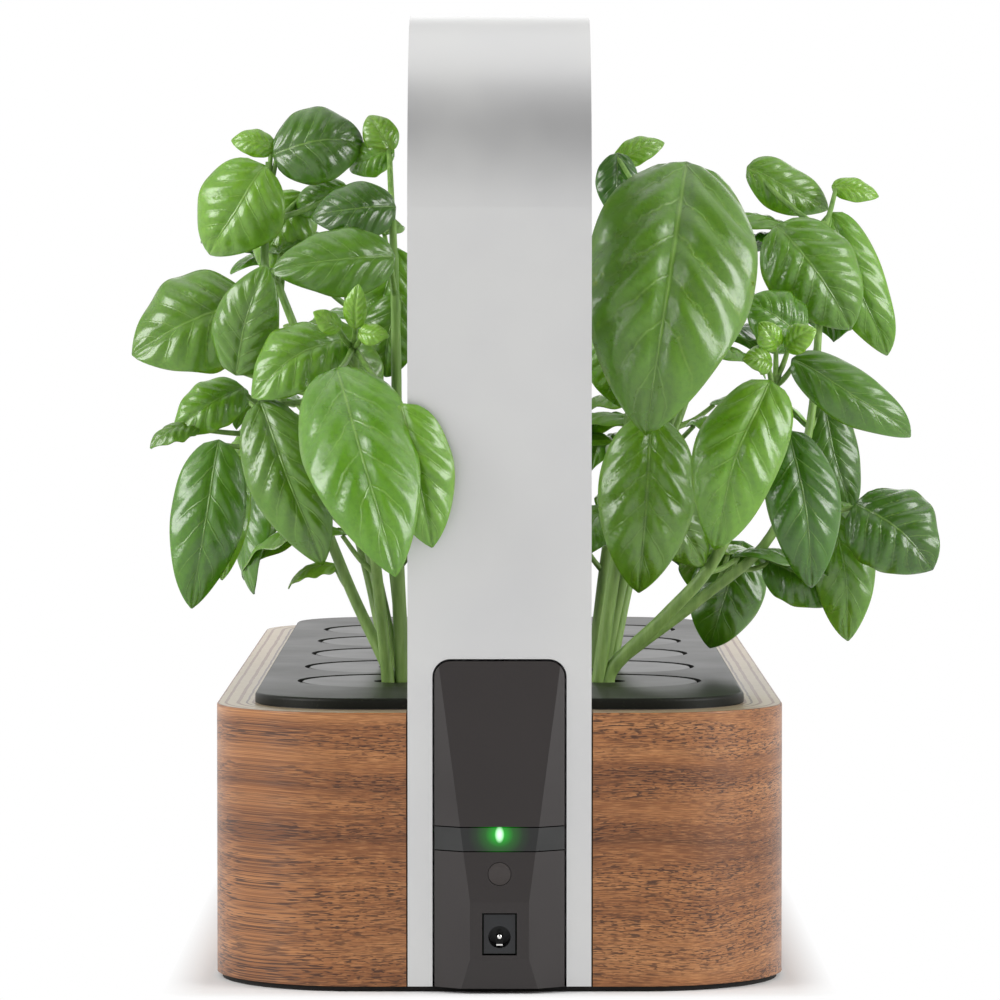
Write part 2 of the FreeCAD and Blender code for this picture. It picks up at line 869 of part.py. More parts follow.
def panel_loft(name, inset_from_face, back):
    """Wedge that swells out of the arch's face, as sections stacked up the panel; an inset raises its floor too."""
    body = new_body(name)
    sections = []
    for number, (height, inset) in enumerate(RIDGE):
        rise = s.panel_height * (height / RIDGE[-1][0]) if number else inset_from_face
        sketch = new_sketch(body, f"{name}_section_{number}", offset=panel_low + rise)
        side = s.panel_half_width - inset_from_face
        ridge = s.panel_half_width - inset - inset_from_face * 0.6
        bulge = inset * ridge_slope - inset_from_face
        outline(sketch, [
            (-side, back),
            (-side, front),
            (-ridge, front - bulge),
            (ridge, front - bulge),
            (side, front),
            (side, back),
        ])
        sections.append(sketch)
    loft = body.newObject("PartDesign::AdditiveLoft", name + "_loft")
    loft.Profile = sections[0]
    loft.Sections = sections[1:]
    loft.Ruled = True
    return body


panel_back = front + s.panel_depth
button_face = front - ridge_slope * ridge_inset(33.0)
button_flange = button_face + s.panel_wall + 0.5
switch_depth = as_size(3.6)
switch_front = board_front - switch_depth
socket_front = front - ridge_slope * RIDGE[1][1] + s.socket_recess
socket_middle = s.socket_height + s.socket_rise


def make_panel():
    """Upper cover, indicator window and lower cover, cut from one wedge."""
    solid = panel_loft("panel_wedge", as_size(0), panel_back)
    hollow = panel_loft("panel_hollow", s.panel_wall, panel_back + 1)
    shell = minus("panel_shell", solid, hollow)
    form = new_body("panel_form")
    face = new_sketch(form, "panel_form_face", plane="XZ_Plane", offset=half_length + 12)
    wide = s.panel_half_width
    outline(face, [
        (-wide, panel_low),
        (wide, panel_low),
        (wide, panel_high, s.panel_corner),
        (-wide, panel_high, s.panel_corner),
    ])
    grow(form, face, as_size(20), reverse=True)
    rounded = shared("panel_rounded", shell, form)
    across = (-s.panel_half_width - 1, s.panel_half_width + 1)
    depth = (front - 12, panel_back + 1)
    upper = block("upper_zone", across, depth, (s.window_high, panel_high + 1))
    middle = block("window_zone", across, depth, (s.window_low, s.window_high))
    lower = block("lower_zone", across, depth, (panel_low - 1, s.window_low))
    keep("panel_upper", shared("panel_upper", rounded, upper))
    keep("indicator_window", shared("indicator_window", rounded, middle))
    whole_lower = shared("lower_whole", rounded, lower)
    button_hole = rod(
        "button_hole", s.button_diameter / 2 + s.button_gap, 12, (0, front - 10, s.button_height), "Y"
    )
    socket_hole = block(
        "socket_hole",
        (-s.socket_width / 2 - s.socket_margin, s.socket_width / 2 + s.socket_margin),
        (front - 12, front + 2),
        (socket_middle - s.socket_face / 2 - s.socket_margin, socket_middle + s.socket_face / 2 + s.socket_margin),
    )
    keep("panel_lower", minus("panel_lower", whole_lower, grouped("panel_holes", [button_hole, socket_hole])))
    return solid


def make_button(wedge):
    """Push button: its face is flush with the wedge, a flange keeps it in, a stem reaches the switch."""
    cap = rod("button_cap", s.button_diameter / 2, 12, (0, front - 10, s.button_height), "Y")
    front_part = block(
        "button_front",
        (-5, 5),
        (front - 12, button_flange),
        (s.button_height - 5, s.button_height + 5),
    )
    blank = shared("button_face", shared("button_blank", cap, wedge), front_part)
    dish_centre = button_face - s.button_dish_radius + s.button_dish
    face = minus("button_dished", blank, ball("button_dish", s.button_dish_radius, (0, dish_centre, s.button_height)))
    flange = rod("button_flange", s.button_diameter / 2 + 0.9, 1.0, (0, button_flange, s.button_height), "Y")
    stem_start = button_flange + 1.0
    stem_end = switch_front - s.button_travel - 0.1
    stem = rod("button_stem", 1.5, stem_end - stem_start, (0, stem_start, s.button_height), "Y")
    keep("power_button", joined("power_button", [face, flange, stem]))


def make_board():
    plate = block(
        "board_plate",
        (-s.board_half_width, s.board_half_width),
        (board_front, board_back),
        (s.board_low, s.board_high),
    )
    drills = [
        rod(f"board_hole_{n}", 1.05, 3, (x, board_front - 0.5, z), "Y")
        for n, (x, z) in enumerate((x, z) for x in board_screw_x for z in board_screw_z)
    ]
    keep("control_board", minus("control_board", plate, grouped("board_holes", drills)))
    keep("button_switch", block(
        "button_switch",
        (-3, 3),
        (switch_front, board_front),
        (s.button_height - 3, s.button_height + 3),
    ))
    lamp_z = (s.window_low + s.window_high) / 2
    keep("indicator_lamp", joined("indicator_lamp", [
        block("lamp_foot", (-1.75, 1.75), (board_front - 1.6, board_front), (lamp_z - 1.4, lamp_z + 1.4)),
        rod("lamp_dome", 1.2, 7.0, (0, board_front - 8.6, lamp_z), "Y"),
    ]))
    screws = []
    for n, (x, z) in enumerate((x, z) for x in board_screw_x for z in board_screw_z):
        head = rod(f"board_screw_head_{n}", 1.8, 1.2, (x, board_front - 1.2, z), "Y")
        shank = rod(f"board_screw_shank_{n}", 0.85, 4.4, (x, board_front, z), "Y")
        screws.append(joined(f"board_screw_{n}", [head, shank]))
    keep("board_screws", grouped("board_screws", screws))


def make_socket():
    body_block = block(
        "socket_block",
        (-s.socket_width / 2, s.socket_width / 2),
        (socket_front, board_front),
        (socket_middle - s.socket_face / 2, socket_middle + s.socket_face / 2),
    )
    bore = rod(
        "socket_bore", s.socket_hole / 2, s.socket_bore_depth + 1, (0, socket_front - 1, s.socket_height), "Y"
    )
    keep("socket_housing", minus("socket_housing", body_block, bore))
    pin_length = s.socket_bore_depth - 0.6
    pin_start = socket_front + s.socket_bore_depth - pin_length
    pin_round = s.socket_pin / 2
    shank = rod("pin_shank", pin_round, pin_length - pin_round, (0, pin_start + pin_round, s.socket_height), "Y")
    nose = ball("pin_nose", pin_round, (0, pin_start + pin_round, s.socket_height))
    keep("socket_pin", joined("socket_pin", [shank, nose]))
    spring_low = s.socket_height - s.socket_hole / 2 + 0.55
    keep("socket_spring", block(
        "socket_spring",
        (-0.9, 0.9),
        (socket_front + 2.2, socket_front + s.socket_bore_depth),
        (spring_low, spring_low + 0.4),
    ))


def make_screws():
    wood_screws = []
    for side in SIDES.values():
        for row in SCREW_ROWS:
            n = len(wood_screws)
            x = side * wood_screw_x
            head = rod(f"wood_screw_head_{n}", s.screw_head, s.screw_head_height - 0.1, (x, row, foot_top), "Z")
            length = wood_screw_reach + s.tray_floor
            shank = rod(f"wood_screw_shank_{n}", s.screw_radius, length, (x, row, foot_top), "Z")
            wood_screws.append(joined(f"wood_screw_{n}", [head, shank]))
    keep("wood_screws", grouped("wood_screws", wood_screws))
    arch_screws = []
    inside = tray_y - s.tray_wall
    reach = s.tray_wall + s.fit_gap + s.liner_thickness + arch_boss - 0.5
    for end_name, end in (("front", -1), ("rear", 1)):
        for side in SIDES.values():
            n = len(arch_screws)
            x = side * arch_screw_x
            head_y = -inside if end < 0 else inside - s.screw_head_height
            shank_y = -(inside + reach) if end < 0 else inside
            head = rod(f"arch_screw_head_{n}", s.screw_head, s.screw_head_height, (x, head_y, arch_screw_z), "Y")
            shank = rod(f"arch_screw_shank_{n}", s.screw_radius, reach, (x, shank_y, arch_screw_z), "Y")
            arch_screws.append(joined(f"arch_screw_{n}", [head, shank]))
    keep("arch_screws", grouped("arch_screws", arch_screws))


# Pump and float in the tank

pump_back = tank_y - s.tank_wall - s.pump_wall_gap
pump_front = pump_back - s.pump_length
pump_axis = tank_inside_floor + s.pump_height / 2


def make_pump():
    half = s.pump_width / 2
    nozzle_y = pump_front + s.chamber_depth / 2
    case_top = tank_inside_floor + s.pump_height
    case = block("pump_case", (-half, half), (pump_front, pump_back), (tank_inside_floor, case_top))
    nozzle = rod("pump_nozzle", s.nozzle_radius, s.nozzle_length, (0, nozzle_y, case_top), "Z")
    chamber = rod("pump_chamber", s.chamber_radius, s.chamber_depth + 1, (0, pump_front - 1, pump_axis), "Y")
    outlet = rod("pump_outlet", s.nozzle_bore, s.pump_height / 2 + s.nozzle_length + 1, (0, nozzle_y, pump_axis), "Z")
    housing = minus("pump_housing", joined("pump_solid", [case, nozzle]), joined("pump_space", [chamber, outlet]))
    keep("pump_housing", housing)
    cover_plate = block(
        "pump_cover_plate",
        (-half, half),
        (pump_front - s.pump_cover, pump_front),
        (tank_inside_floor, case_top),
    )
    inlets = [
        rod(f"pump_inlet_{n}", 1.6, s.pump_cover + 2, (
            s.inlet_radius * 1.4 * round(math.cos(math.radians(60 * n)), 6),
            pump_front - s.pump_cover - 1,
            pump_axis + s.inlet_radius * 1.4 * round(math.sin(math.radians(60 * n)), 6),
        ), "Y")
        for n in range(6)
    ]
    keep("pump_cover", minus("pump_cover", cover_plate, grouped("pump_inlets", inlets)))
    shaft_length = s.chamber_depth
    keep("pump_shaft", rod("pump_shaft", s.pump_shaft / 2, shaft_length, (0, pump_front, pump_axis), "Y"))
    make_impeller()
    make_hose(nozzle_y, case_top)


def make_impeller():
    start = pump_front + (s.chamber_depth - s.impeller_length) / 2
    hub = rod("impeller_hub", s.pump_shaft / 2 + 2.2, s.impeller_length, (0, start, pump_axis), "Y")
    blades = []
    for n in range(3):
        blade = doc.addObject("Part::Box", f"impeller_blade_{n}")
        bind(blade, "Length", 2 * s.impeller_radius)
        bind(blade, "Width", s.impeller_length)
        bind(blade, "Height", 1.6)
        turn = FreeCAD.Rotation(Vector(0, 1, 0), 60 * n)
        corner = turn.multVec(Vector(1, 0, 0))
        lift = turn.multVec(Vector(0, 0, 1))
        blade.Placement = FreeCAD.Placement(Vector(), turn)
        place(
            blade,
            -s.impeller_radius * round(corner.x, 9) - 0.8 * round(lift.x, 9),
            start,
            pump_axis - s.impeller_radius * round(corner.z, 9) - 0.8 * round(lift.z, 9),
        )
        blades.append(blade)
    whole = joined("impeller_solid", [hub] + blades)
    bore = rod("impeller_bore", s.pump_shaft / 2 + 0.08, s.impeller_length + 2, (0, start - 1, pump_axis), "Y")
    keep("pump_impeller", minus("pump_impeller", whole, bore))


def make_hose(nozzle_y, case_top):
    """Hose over the nozzle that turns forward under the deck."""
    body = new_body("pump_hose")
    low = case_top
    turn_z = case_top + s.nozzle_length + 2
    end_y = nozzle_y - s.hose_bend - 12
    outer = s.nozzle_radius + 0.1 + s.hose_wall
    path = new_sketch(body, "hose_path", plane="YZ_Plane")
    rise = path.addGeometry(Part.LineSegment(at((nozzle_y, low)), at((nozzle_y, turn_z))))
    run = path.addGeometry(Part.LineSegment(
        at((nozzle_y - s.hose_bend, turn_z + s.hose_bend)), at((end_y, turn_z + s.hose_bend))
    ))
    for line, ends in (
        (rise, ((nozzle_y, low), (nozzle_y, turn_z))),
        (run, ((nozzle_y - s.hose_bend, turn_z + s.hose_bend), (end_y, turn_z + s.hose_bend))),
    ):
        for which, point in enumerate(ends, start=1):
            dimension(path, "DistanceX", line, which, point[0])
            dimension(path, "DistanceY", line, which, point[1])
    centre = at((nozzle_y - s.hose_bend, turn_z))
    turn = Part.ArcOfCircle(Part.Circle(centre, Vector(0, 0, 1), s.hose_bend.value), 0, math.pi / 2)
    arc = path.addGeometry(turn)
    path.addConstraint(Sketcher.Constraint("Coincident", arc, 1, rise, 2))
    path.addConstraint(Sketcher.Constraint("Coincident", arc, 2, run, 1))
    dimension(path, "Radius", arc, None, s.hose_bend)
    section = new_sketch(body, "hose_section", offset=low)
    circle(section, 0, nozzle_y, outer)
    circle(section, 0, nozzle_y, s.nozzle_radius + 0.1)
    pipe = body.newObject("PartDesign::AdditivePipe", "hose_pipe")
    pipe.Profile = section
    pipe.Spine = (path, ["Edge1", "Edge2", "Edge3"])
    keep("pump_hose", body)


float_y = -(tank_y - s.tank_wall - 17)


def make_float():
    base = tank_inside_floor
    foot = rod("float_foot", 6.0, 2.0, (0, float_y, base), "Z")
    height = 2 + s.float_height + s.float_travel + 0.5
    post = rod("float_rod", s.float_post / 2, height + 2, (0, float_y, base), "Z")
    stop = rod("float_stop", s.float_post / 2 + 1.5, 2.0, (0, float_y, base + height), "Z")
    keep("float_post", joined("float_post", [foot, post, stop]))
    ring = rod("float_solid", s.float_diameter / 2, s.float_height, (0, float_y, base + 2), "Z")
    bore = rod("float_bore", s.float_post / 2 + s.float_play, s.float_height + 2, (0, float_y, base + 1), "Z")
    keep("float_ring", minus("float_ring", ring, bore))


# Basil plants

# Points are (x, y, z) for pods at their drawn places; each plant moves with its own pod.
DRAWN_PITCH = 63.0
DRAWN_DECK_TOP = 83.3
LEAF_SHAPE = ((0.0, 0.14), (0.12, 0.72), (0.36, 0.99), (0.62, 0.90), (0.84, 0.54))
LEAF_THICKNESS = 0.8
LEAF_CUP = 0.16
FACINGS = {
    "front": (0.0, -1.0, 0.35),
    "left": (-0.7, -0.5, 0.5),
    "right": (0.7, -0.5, 0.5),
    "up": (0.0, -0.35, 1.0),
    "back": (0.0, 0.9, 0.6),
}

# Main stems of the front plants: points and the radius at the foot and the end
STEMS = {
    ("left", 1): (
        (((-33, -128, 78), (-34, -129, 87), (-37, -135, 117), (-41, -150, 155), (-43, -172, 186)), 2.2, 1.2),
        (((-33, -124, 78), (-34, -124, 87), (-47, -120, 115), (-65, -122, 165), (-71, -116, 205),
          (-70, -112, 240)), 2.1, 1.1),
        (((-29, -127, 78), (-31, -131, 130), (-31, -133, 180), (-32, -136, 222)), 2.4, 1.1),
    ),
    ("right", 1): (
        (((33, -127, 78), (34, -127, 87), (50, -130, 103), (65, -135, 121), (76, -150, 150),
          (82, -163, 177)), 2.5, 1.4),
        (((29, -127, 78), (36, -131, 125), (46, -141, 180), (55, -156, 237)), 2.2, 1.3),
        (((33, -123, 78), (34, -123, 87), (60, -121, 107), (82, -124, 127), (94, -119, 160),
          (99, -104, 222)), 2.1, 1.1),
    ),
}

# Leaves that show from the front: base, tip, width, bow and the way the face looks
LEAVES = {
    ("left", 1): (
        ((-69, -112, 242), (-40, -108, 246), 25, 6, "front"),
        ((-71, -117, 239), (-89, -116, 211), 28, 5, "front"),
        ((-31, -148, 211), (-68, -156, 207), 22, 5, "front"),
        ((-74, -140, 198), (-110, -146, 182), 33, 5, "front"),
        ((-78, -160, 176), (-69, -168, 209), 20, 3, "front"),
        ((-46, -172, 187), (-73, -182, 170), 22, 5, "front"),
        ((-47, -204, 179), (-29, -243, 121), 33, 9, "front"),
        ((-28, -219, 169), (-19, -226, 128), 22, 3, "front"),
        ((-70, -180, 169), (-51, -192, 121), 23, 5, "front"),
        ((-83, -158, 157), (-91, -166, 107), 22, 5, "front"),
        ((-80, -146, 153), (-83, -150, 114), 14, 3, "front"),
        ((-72, -118, 146), (-75, -124, 109), 18, 4, "left"),
        ((-77, -130, 172), (-98, -134, 158), 16, 4, "front"),
        ((-90, -134, 160), (-105, -138, 154), 12, 3, "left"),
        ((-31, -134, 226), (-57, -138, 223), 19, 5, "front"),
        ((-60, -98, 231), (-74, -100, 207), 20, 4, "front"),
        ((-33, -110, 243), (-40, -108, 255), 11, 2, "front"),
        ((-49, -92, 116), (-66, -94, 110), 10, 3, "up"),
        ((-42, -186, 190), (-41, -190, 203), 7, 1, "front"),
        ((-41, -188, 189), (-32, -192, 188), 7, 1, "front"),
        ((-46, -187, 190), (-54, -190, 195), 7, 1, "front"),
        ((-60, -140, 190), (-36, -136, 163), 26, 5, "front"),
        ((-66, -112, 185), (-96, -96, 178), 24, 5, "up"),
        ((-60, -100, 160), (-88, -82, 140), 25, 6, "left"),
        ((-32, -110, 244), (-47, -106, 238), 12, 3, "front"),
        ((-31, -104, 214), (-38, -100, 186), 20, 4, "front"),
        ((-30, -118, 200), (-35, -112, 174), 18, 4, "front"),
        ((-76, -108, 168), (-99, -98, 160), 18, 4, "left"),
        ((-66, -105, 135), (-80, -98, 112), 16, 4, "left"),
        ((-68, -110, 244), (-82, -108, 247), 9, 2, "front"),
        ((-46, -104, 232), (-63, -102, 225), 13, 3, "front"),
    ),
    ("right", 1): (
        ((55, -166, 239), (42, -206, 160), 50, 9, "front"),
        ((76, -92, 239), (102, -88, 226), 16, 3, "front"),
        ((102, -92, 233), (117, -90, 230), 8, 2, "front"),
        ((84, -112, 221), (107, -114, 189), 29, 6, "front"),
        ((101, -96, 225), (120, -98, 180), 19, 5, "front"),
        ((92, -126, 186), (74, -132, 199), 20, 3, "front"),
        ((86, -166, 181), (123, -170, 158), 17, 6, "front"),
        ((79, -178, 175), (62, -190, 125), 26, 6, "front"),
        ((45, -158, 164), (41, -166, 111), 29, 5, "front"),
        ((85, -168, 160), (92, -178, 113), 22, 5, "front"),
        ((99, -118, 140), (106, -124, 94), 20, 4, "front"),
        ((107, -128, 137), (131, -134, 117), 28, 5, "front"),
        ((81, -114, 119), (103, -118, 106), 18, 4, "front"),
        ((75, -94, 124), (64, -98, 90), 23, 5, "front"),
        ((98, -114, 168), (107, -118, 133), 16, 4, "front"),
        ((82, -168, 184), (76, -174, 192), 9, 2, "front"),
        ((84, -168, 184), (93, -172, 190), 9, 2, "front"),
        ((80, -170, 180), (71, -176, 181), 9, 2, "front"),
        ((40, -140, 150), (62, -136, 118), 24, 5, "front"),
        ((56, -120, 205), (80, -104, 196), 24, 5, "up"),
        ((35, -98, 240), (51, -96, 247), 9, 2, "front"),
        ((36, -104, 243), (36, -108, 222), 13, 3, "front"),
        ((34, -110, 192), (37, -106, 165), 18, 4, "front"),
    ),
}

# Leaf pairs that fill each plant by formula: start height, spacing, leaf length at the foot and the top
WHORL_STEP = 27.0
WHORL_LOW = 44.0
WHORL_TURN = 77.0
WHORL_LEAF = (46.0, 34.0)
WHORL_BASE = 9.0
BACK_STEMS = (
    # lean outwards, lean along the length, height, foot radius
    (20.0, 6.0, 128.0, 2.2),
    (46.0, -4.0, 146.0, 2.1),
    (34.0, 30.0, 112.0, 2.0),
)


def mixed(a, b, share):
    return a * (1 - share) + b * share


def solid_from_triangles(triangles):
    """Closed solid from a list of corner triples."""
    shape = Part.Shape()
    shape.makeShapeFromMesh(Mesh.Mesh(triangles).Topology, 0.001)
    solid = Part.Solid(shape)
    if solid.Volume < 0:
        solid.reverse()
    return solid


def skin_triangles(rings, tip=None):
    """Triangles round a row of rings, closed by a cap at the start and by a cap or a point at the end."""
    triangles = []
    count = len(rings[0])
    for lower, upper in zip(rings, rings[1:]):
        for k in range(count):
            n = (k + 1) % count
            triangles.append((lower[k], lower[n], upper[n]))
            triangles.append((lower[k], upper[n], upper[k]))
    for k in range(1, count - 1):
        triangles.append((rings[0][0], rings[0][k + 1], rings[0][k]))
    last = rings[-1]
    if tip is not None:
        triangles += [(last[k], last[(k + 1) % count], tip) for k in range(count)]
    else:
        triangles += [(last[0], last[k], last[k + 1]) for k in range(1, count - 1)]
    return triangles


def leaf_solid(base, tip, width, bow, facing):
    """Thin domed leaf: its midrib bows towards the face, its edges fall away from it."""
    chord = tip - base
    side = chord.cross(Vector(*facing)).normalize()
    up = side.cross(chord).normalize()
    middle = (base + tip) * 0.5 + up * (2 * bow)
    rings = []
    for share, spread in LEAF_SHAPE:
        centre = mixed(mixed(base, middle, share), mixed(middle, tip, share), share)
        along = (mixed(middle, tip, share) - mixed(base, middle, share)).normalize()
        normal = side.cross(along).normalize()
        half = width / 2 * spread
        cup = LEAF_CUP * width * spread * spread
        rings.append([
            centre + side * (half * across) + normal * (lift * LEAF_THICKNESS - fall * cup)
            for across, lift, fall in (
                (-1.0, 0.0, 1.0), (-0.5, 0.5, 0.25), (0.5, 0.5, 0.25),
                (1.0, 0.0, 1.0), (0.5, -0.5, 0.25), (-0.5, -0.5, 0.25),
            )
        ])
    return solid_from_triangles(skin_triangles(rings, tip))


def stem_solid(points, foot_radius, end_radius, sides=6):
    """Tapered stem along a bent line."""
    rings = []
    for k, point in enumerate(points):
        before = point - points[k - 1] if k else points[1] - point
        after = points[k + 1] - point if k + 1 < len(points) else before
        along = (before.normalize() + after.normalize()).normalize()
        if k == 0:
            along = Vector(0, 0, 1) if abs(point.z - plug_top.value) < 0.5 else along
        across = along.cross(Vector(0.3, 1, 0.1)).normalize()
        other = along.cross(across).normalize()
        radius = mixed(foot_radius, end_radius, k / (len(points) - 1))
        rings.append([
            point + across * (radius * math.cos(2 * math.pi * n / sides))
            + other * (radius * math.sin(2 * math.pi * n / sides))
            for n in range(sides)
        ])
    return solid_from_triangles(skin_triangles(rings))


def nearest_on(points, target):
    """Nearest point to target on a bent line."""
    best = None
    for a, b in zip(points, points[1:]):
        along = b - a
        share = min(max((target - a).dot(along) / along.dot(along), 0.05), 0.95)
        point = a + along * share
        if best is None or (point - target).Length < (best - target).Length:
            best = point
    return best


def plant_stems(side_name, row):
    """Bent lines, foot radius and end radius of a plant's main stems, for the pod's drawn place."""
    if (side_name, row) in STEMS:
        return [([Vector(*p) for p in points], foot, end) for points, foot, end in STEMS[side_name, row]]
    side = SIDES[side_name]
    foot_x = side * DRAWN_PITCH / 2
    foot_y = (row - (ROWS + 1) / 2) * DRAWN_PITCH
    stems = []
    for number, (out, along, height, radius) in enumerate(BACK_STEMS):
        start = Vector(foot_x + side * (number - 1) * 2.5, foot_y + (number - 1) * 2, 78)
        points = [start]
        for share in (0.33, 0.66, 1.0):
            lean = share ** 1.3
            points.append(start + Vector(side * out * lean, along * lean, height * share))
        stems.append((points, radius, 1.1))
    return stems


def whorl_leaves(side_name, row, stems):
    """Pairs of leaves up each stem, each pair turned from the one below."""
    side = SIDES[side_name]
    leaves = []
    for number, (points, _, _) in enumerate(stems):
        top = points[-1].z - points[0].z
        level = 0
        height = WHORL_LOW + 6 * number
        while height <= top:
            node = nearest_on(points, points[0] + (points[-1] - points[0]) * (height / top))
            length = mixed(WHORL_LEAF[0], WHORL_LEAF[1], height / top)
            for half_turn in (0, 180):
                angle = math.radians(WHORL_TURN * level + 40 * number + half_turn + 25 * side)
                way = Vector(math.cos(angle), math.sin(angle), 0)
                if row == 1 and way.y < 0.25:
                    continue
                base = node + way * WHORL_BASE + Vector(0, 0, 3)
                tip = base + way * length * 0.9 + Vector(0, 0, -0.3 * length + 4 * level)
                leaves.append((base, tip, 0.56 * length, 0.14 * length, (way.x * 0.3, way.y * 0.3, 1.0)))
            level += 1
            height += WHORL_STEP
    return leaves


def is_clear(leaf):
    """True where a leaf stays out of the arch's path and above the free pod covers."""
    base, tip, width, bow, _ = leaf
    half = width / 2
    for point in (base, tip, (base + tip) * 0.5 + Vector(0, 0, 2 * bow)):
        near_middle = abs(point.x) < arch_half.value + 0.5 * half
        if near_middle and point.z > 194:
            return False
        if near_middle and point.y < -(leg_inner.value - half):
            return False
        if point.z < 92 or (point.y > -44 and point.z < 116):
            return False
        if abs(point.x) < 0.55 * half or point.z > 262 or abs(point.x) > 88 and point.z > 220:
            return False
    return True


def make_plants():
    """Stems and leaves of each planted pod; a later leaf is cut back where it meets an earlier piece."""
    placed = []
    plant_parts = []
    for side_name, row, x, y in pod_places(0, PLANTED_ROWS):
        drawn_x = SIDES[side_name] * DRAWN_PITCH / 2
        drawn_y = (row - (ROWS + 1) / 2) * DRAWN_PITCH
        move = Vector(as_size(x).value - drawn_x, as_size(y).value - drawn_y, deck_top.value - DRAWN_DECK_TOP)
        stems = plant_stems(side_name, row)
        for points, _, _ in stems:
            points[0].z = plug_top.value - move.z
        leaves = [
            (Vector(*base), Vector(*tip), width, bow, FACINGS[facing])
            for base, tip, width, bow, facing in LEAVES.get((side_name, row), ())
        ]
        leaves += [leaf for leaf in whorl_leaves(side_name, row, stems) if is_clear(leaf)]
        woody = []
        for points, foot_radius, end_radius in stems:
            woody.append(stem_solid([point + move for point in points], foot_radius, end_radius))
        for base, tip, width, bow, facing in leaves:
            choices = [nearest_on(points, base - Vector(0, 0, 12)) for points, _, _ in stems]
            start = min(choices, key=lambda point: (point - base).Length)
            reach = base + (tip - base).normalize() * 1.5
            bend = (start + reach) * 0.5 + Vector(0, 0, -1)
            woody.append(stem_solid([start + move, bend + move, reach + move], 0.9, 0.7, 5))
        stem_shape = woody[0].multiFuse(woody[1:])
        placed.append(stem_shape)
        feature = doc.addObject("Part::Feature", f"basil_stems_{side_name}_{row}")
        feature.Shape = stem_shape
        keep(feature.Name, feature)
        solids = [
            leaf_solid(base + move, tip + move, width, bow, facing) for base, tip, width, bow, facing in leaves
        ]
        plant_parts.append((side_name, row, solids))
    finish_leaves(placed, plant_parts)


def finish_leaves(placed, plant_parts):
    """Cut each leaf by the stems and the leaves before it, and keep its largest piece."""
    for side_name, row, solids in plant_parts:
        kept = []
        for solid in solids:
            box = solid.BoundBox
            tools = [other for other in placed if other.BoundBox.intersect(box)]
            piece = solid.cut(tools) if tools else solid
            largest = max(piece.Solids, key=lambda part: part.Volume)
            if not largest.isValid():
                raise RuntimeError(f"leaf {len(kept)} of plant {side_name} {row} isn't a valid solid")
            kept.append(largest)
            placed.append(largest)
        feature = doc.addObject("Part::Feature", f"basil_leaves_{side_name}_{row}")
        feature.Shape = Part.makeCompound(kept)
        keep(feature.Name, feature)


# Build everything

make_foot_pad()
for side_name, side in SIDES.items():
    make_wood_shell(f"wood_shell_{side_name}", side)
make_base_tray()
make_tank()
make_deck()
for side_name, row, x, y in pod_places():
    make_cover(f"pod_cover_{side_name}_{row}", x, y)
for side_name, row, x, y in pod_places(0, PLANTED_ROWS):
    make_cup(f"net_cup_{side_name}_{row}", x, y)
make_plugs()
make_arch_shell()
make_arch_liner()
make_light()
make_wiring()
make_button(make_panel())
make_board()
make_socket()
make_screws()
make_pump()
make_float()
make_plants()
doc.recompute()


# Check and write each sub-part

def check_and_write():
    for item in doc.Objects:
        if "Invalid" in item.State or "Error" in item.State:
            raise RuntimeError(f"{item.Name} is {item.State}")
    for name, item in nodes.items():
        if item.Shape.isNull() or not item.Shape.isValid() or not item.Shape.Solids:
            raise RuntimeError(f"{name} has no valid solid")
    os.makedirs("parts", exist_ok=True)
    for name, item in nodes.items():
        item.Shape.exportStep(f"parts/{name}.step")
        print(name, len(item.Shape.Solids), round(item.Shape.Volume, 1))


check_and_write()
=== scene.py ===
import math
import random

import bpy
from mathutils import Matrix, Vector


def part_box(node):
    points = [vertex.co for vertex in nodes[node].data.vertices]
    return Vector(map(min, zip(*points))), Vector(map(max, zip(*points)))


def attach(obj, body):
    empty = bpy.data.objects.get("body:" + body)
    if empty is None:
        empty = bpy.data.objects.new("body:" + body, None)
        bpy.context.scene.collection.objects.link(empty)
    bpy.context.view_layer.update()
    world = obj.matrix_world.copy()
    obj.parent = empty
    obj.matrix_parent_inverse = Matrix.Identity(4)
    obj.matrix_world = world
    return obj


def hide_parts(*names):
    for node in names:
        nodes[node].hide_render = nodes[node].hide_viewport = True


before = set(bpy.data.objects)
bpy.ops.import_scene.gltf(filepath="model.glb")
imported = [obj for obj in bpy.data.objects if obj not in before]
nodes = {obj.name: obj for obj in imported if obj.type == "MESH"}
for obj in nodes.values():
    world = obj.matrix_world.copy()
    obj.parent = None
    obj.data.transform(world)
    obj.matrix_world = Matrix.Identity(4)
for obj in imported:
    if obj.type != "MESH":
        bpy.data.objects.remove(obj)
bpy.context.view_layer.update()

# Countertop hydroponic garden. Lengths are in metres; all that is drawn for the plants is in millimetres

MM = 0.001
scene = bpy.context.scene

wood_low, wood_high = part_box("wood_shell_left")
_, arch_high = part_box("arch_shell")
_, deck_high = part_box("grow_deck")
window_low, window_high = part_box("indicator_window")

body_half_x = -wood_low.x
body_half_y = wood_high.y
front_y = wood_low.y
corner_radius = 42 * MM


# Colours

def linear(red, green, blue):
    """Linear colour from the 0 to 255 values a picture shows."""
    def channel(value):
        value /= 255
        return value / 12.92 if value <= 0.04045 else ((value + 0.055) / 1.055) ** 2.4
    return (channel(red), channel(green), channel(blue), 1.0)


def grey(value):
    return (value, value, value, 1.0)


def tinted(colour, factor):
    """The colour made darker or lighter, up to white."""
    return tuple(min(channel * factor, 1.0) for channel in colour[:3]) + (1.0,)


# Shader helpers

# Where most values of a noise lie
NOISE_LOW = 0.3
NOISE_HIGH = 0.7


